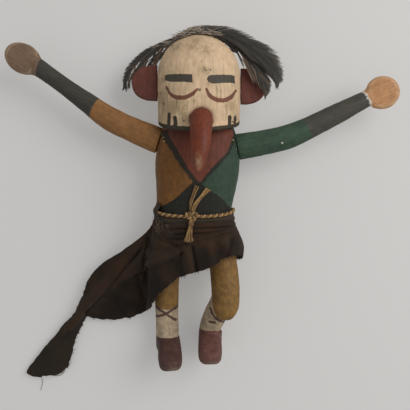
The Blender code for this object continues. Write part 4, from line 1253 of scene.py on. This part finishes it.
def add_fluff(loose, rng):
    """Fine curling thread on the doll's right hip."""
    for _ in range(FLUFF_STRANDS):
        degrees, y = rng.gauss(*FLUFF_DEG), rng.gauss(*FLUFF_Y)
        turn, curl = rng.uniform(0, 6.28), rng.choice((-1, 1)) * rng.uniform(0.6, 1.2)
        path = []
        for _ in range(8):
            path.append(around_trunk(min(y, -36.5), degrees,
                                     KILT_RISE + 2.6 + rng.uniform(-0.4, 0.7)))
            turn += curl * rng.uniform(0.4, 1.5)
            degrees += 1.7 * math.cos(turn)
            y += 0.9 * math.sin(turn)
        if 116 < degrees < 172:
            loose.add(smooth(path, 3) * MM, [0.00009] * 22, sides=4, tone=rng.uniform(0.3, 1.0))


def draw_up_strip(loose, rng):
    """The strip's own end on the doll's right hip, drawn up over the cord."""
    for thread in range(STRIP_THREADS):
        degrees = STRIP_DEG + STRIP_STEP * thread
        ends = rng.uniform(-29.5, -25.5), rng.uniform(-47, -43)
        path = [around_trunk(y, degrees + rng.uniform(-1, 1), out + rng.uniform(-0.15, 0.2))
                for y, out in [(ends[1], 1.4), *STRIP_RISE, (ends[0], 0.7)]]
        normal = Vector((math.cos(math.radians(degrees)), 0, math.sin(math.radians(degrees))))
        path = smooth(path, 3) * MM
        loose.add(path, [0.0011] * (len(path) - 1) + [0.0004], sides=8, flat=0.34, up=normal,
                  tone=rng.uniform(0.2, 0.5))


class DOLL_OT_kilt(bpy.types.Operator):
    """Wraps the kilt's cloth round the hips, with its folds, frayed hem and loose threads"""
    bl_idname = "doll.kilt"
    bl_label = "Wrap the kilt"

    def execute(self, context):
        settings = context.scene.doll_dress
        grid, hollow, ridge = fold_cloth(kilt_sheet())
        hang = tear_edge(grid.swapaxes(0, 1), 4, 3.4, 31.0, 1.1, (1.0, 0.7, 0.4, 0.15))
        tear_edge(grid, 6, 2.6, 47.0, 0.9, (1.0, 0.8, 0.5, 0.2))
        grid[:, :, 2] = np.maximum(grid[:, :, 2], 0.6)
        columns, rows = grid.shape[:2]
        faces = [(a, a + 1, a + rows + 1, a + rows) for i in range(columns - 1)
                 for a in range(i * rows, i * rows + rows - 1)]
        kilt = mesh_piece("woven_kilt", grid.reshape(-1, 3) * MM, faces)
        down = map_weave(kilt, grid)
        column = np.arange(columns)
        wrapped = np.repeat(column < (len(KILT_WRAP) - 1) * STEPS_ALONG, rows)
        store(kilt, "waist", down + np.where(wrapped, 0, 30))
        trailing = 0.6 * np.clip((column - (len(KILT_WRAP) + 2) * STEPS_ALONG) / 90, 0, 1)
        store(kilt, "tail", np.repeat(trailing, rows))
        # crease depth and fold height, which the colour turns into painted shade and into a
        # painted highlight with rub wear
        store(kilt, "hollow", hollow)
        store(kilt, "ridge", ridge)
        mend_faces(kilt)
        shell = kilt.modifiers.new("Cloth", "SOLIDIFY")
        shell.thickness = settings.cloth_thickness
        shell.offset = 0
        apply_modifiers(kilt)
        kilt.data.shade_smooth()
        dress(kilt, "kilt", "cloth", cloth_look(settings.thread_pitch))

        rng = random.Random(41)
        loose = Strands()
        fray_hem(loose, rng, grid, hang)
        add_fluff(loose, rng)
        draw_up_strip(loose, rng)
        loose.add(smooth(TAIL_THREAD, 5) * MM, [0.0002] * 21, sides=5, tone=0.7)
        for path in HEM_THREADS:
            loose.add(smooth(path, 4) * MM, [0.00026] * 21, sides=5, tone=rng.uniform(0.8, 1.1))
        threads = loose.piece("loose_threads")
        threads.data.materials.append(thread_look())
        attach(threads, "root")
        return {"FINISHED"}


# ---- stage ----

class DOLL_OT_stage(bpy.types.Operator):
    """Sets up the camera, the plain floor and the soft lights"""
    bl_idname = "doll.stage"
    bl_label = "Set the stage"

    def execute(self, context):
        settings = context.scene.doll_stage
        camera = bpy.data.objects.new("camera", bpy.data.cameras.new("camera"))
        context.scene.collection.objects.link(camera)
        camera.location = EYE
        camera.data.sensor_width = 36
        camera.data.lens = 36 * FOCAL_PIXELS / PICTURE_PIXELS
        context.scene.camera = camera
        deselect()
        bpy.ops.mesh.primitive_plane_add(size=6, location=(0, 0, -0.0002))
        floor = context.object
        floor.name = "floor"
        # matt paper: no highlight, and a little light of its own, as when lit from behind
        look, _, shader = new_look("matt_paper_floor")
        shader.inputs["Base Color"].default_value = (*settings.floor, 1)
        shader.inputs["Roughness"].default_value = 0.95
        shader.inputs["Emission Color"].default_value = (1.0, 0.985, 0.96, 1)
        shader.inputs["Emission Strength"].default_value = settings.glow
        floor.data.materials.append(look)
        for name, place, wide, watts in (
                ("window", (0.85, 0.4, 0.85), 0.9, settings.key),
                ("fill", (-0.5, -0.6, 0.9), 1.0, settings.key * 0.06)):
            light = bpy.data.lights.new(name, "AREA")
            light.size = wide
            light.energy = watts
            lamp = bpy.data.objects.new(name, light)
            lamp.location = place
            lamp.rotation_euler = (-Vector(place)).to_track_quat("-Z", "Y").to_euler()
            context.scene.collection.objects.link(lamp)
        world = bpy.data.worlds.new("soft_sky")
        world.use_nodes = True
        sky = world.node_tree.nodes["Background"]
        sky.inputs[0].default_value = (0.96, 0.98, 1.0, 1)
        sky.inputs[1].default_value = settings.sky
        context.scene.world = world
        context.scene.view_settings.view_transform = "Standard"
        return {"FINISHED"}


class DOLL_PT_panel(bpy.types.Panel):
    """Lists the doll's steps and settings"""
    bl_idname = "DOLL_PT_panel"
    bl_label = "Carved dance doll"
    bl_space_type = "VIEW_3D"
    bl_region_type = "UI"
    bl_category = "Doll"

    def draw(self, context):
        for name in ("doll_carving", "doll_paint", "doll_dress", "doll_stage"):
            settings = getattr(context.scene, name)
            column = self.layout.column()
            for setting in settings.bl_rna.properties:
                if setting.identifier not in ("rna_type", "name"):
                    column.prop(settings, setting.identifier)
        for step in OPERATORS:
            self.layout.operator(step.bl_idname)


GROUPS = {"doll_paint": DollPaint, "doll_carving": DollCarving, "doll_dress": DollDress,
          "doll_stage": DollStage}
OPERATORS = (DOLL_OT_body, DOLL_OT_arms, DOLL_OT_ears, DOLL_OT_beak, DOLL_OT_feathers,
             DOLL_OT_belt, DOLL_OT_kilt, DOLL_OT_stage)


def register():
    for made in (*GROUPS.values(), *OPERATORS, DOLL_PT_panel):
        bpy.utils.register_class(made)
    for name, group in GROUPS.items():
        setattr(bpy.types.Scene, name, PointerProperty(type=group))


def unregister():
    for name in GROUPS:
        delattr(bpy.types.Scene, name)
    for made in reversed((*GROUPS.values(), *OPERATORS, DOLL_PT_panel)):
        bpy.utils.unregister_class(made)


def main():
    register()
    bpy.ops.doll.stage()
    bpy.ops.doll.body()
    bpy.ops.doll.arms()
    bpy.ops.doll.ears()
    bpy.ops.doll.beak()
    bpy.ops.doll.feathers()
    bpy.ops.doll.belt()
    bpy.ops.doll.kilt()


if __name__ == "__main__":
    main()
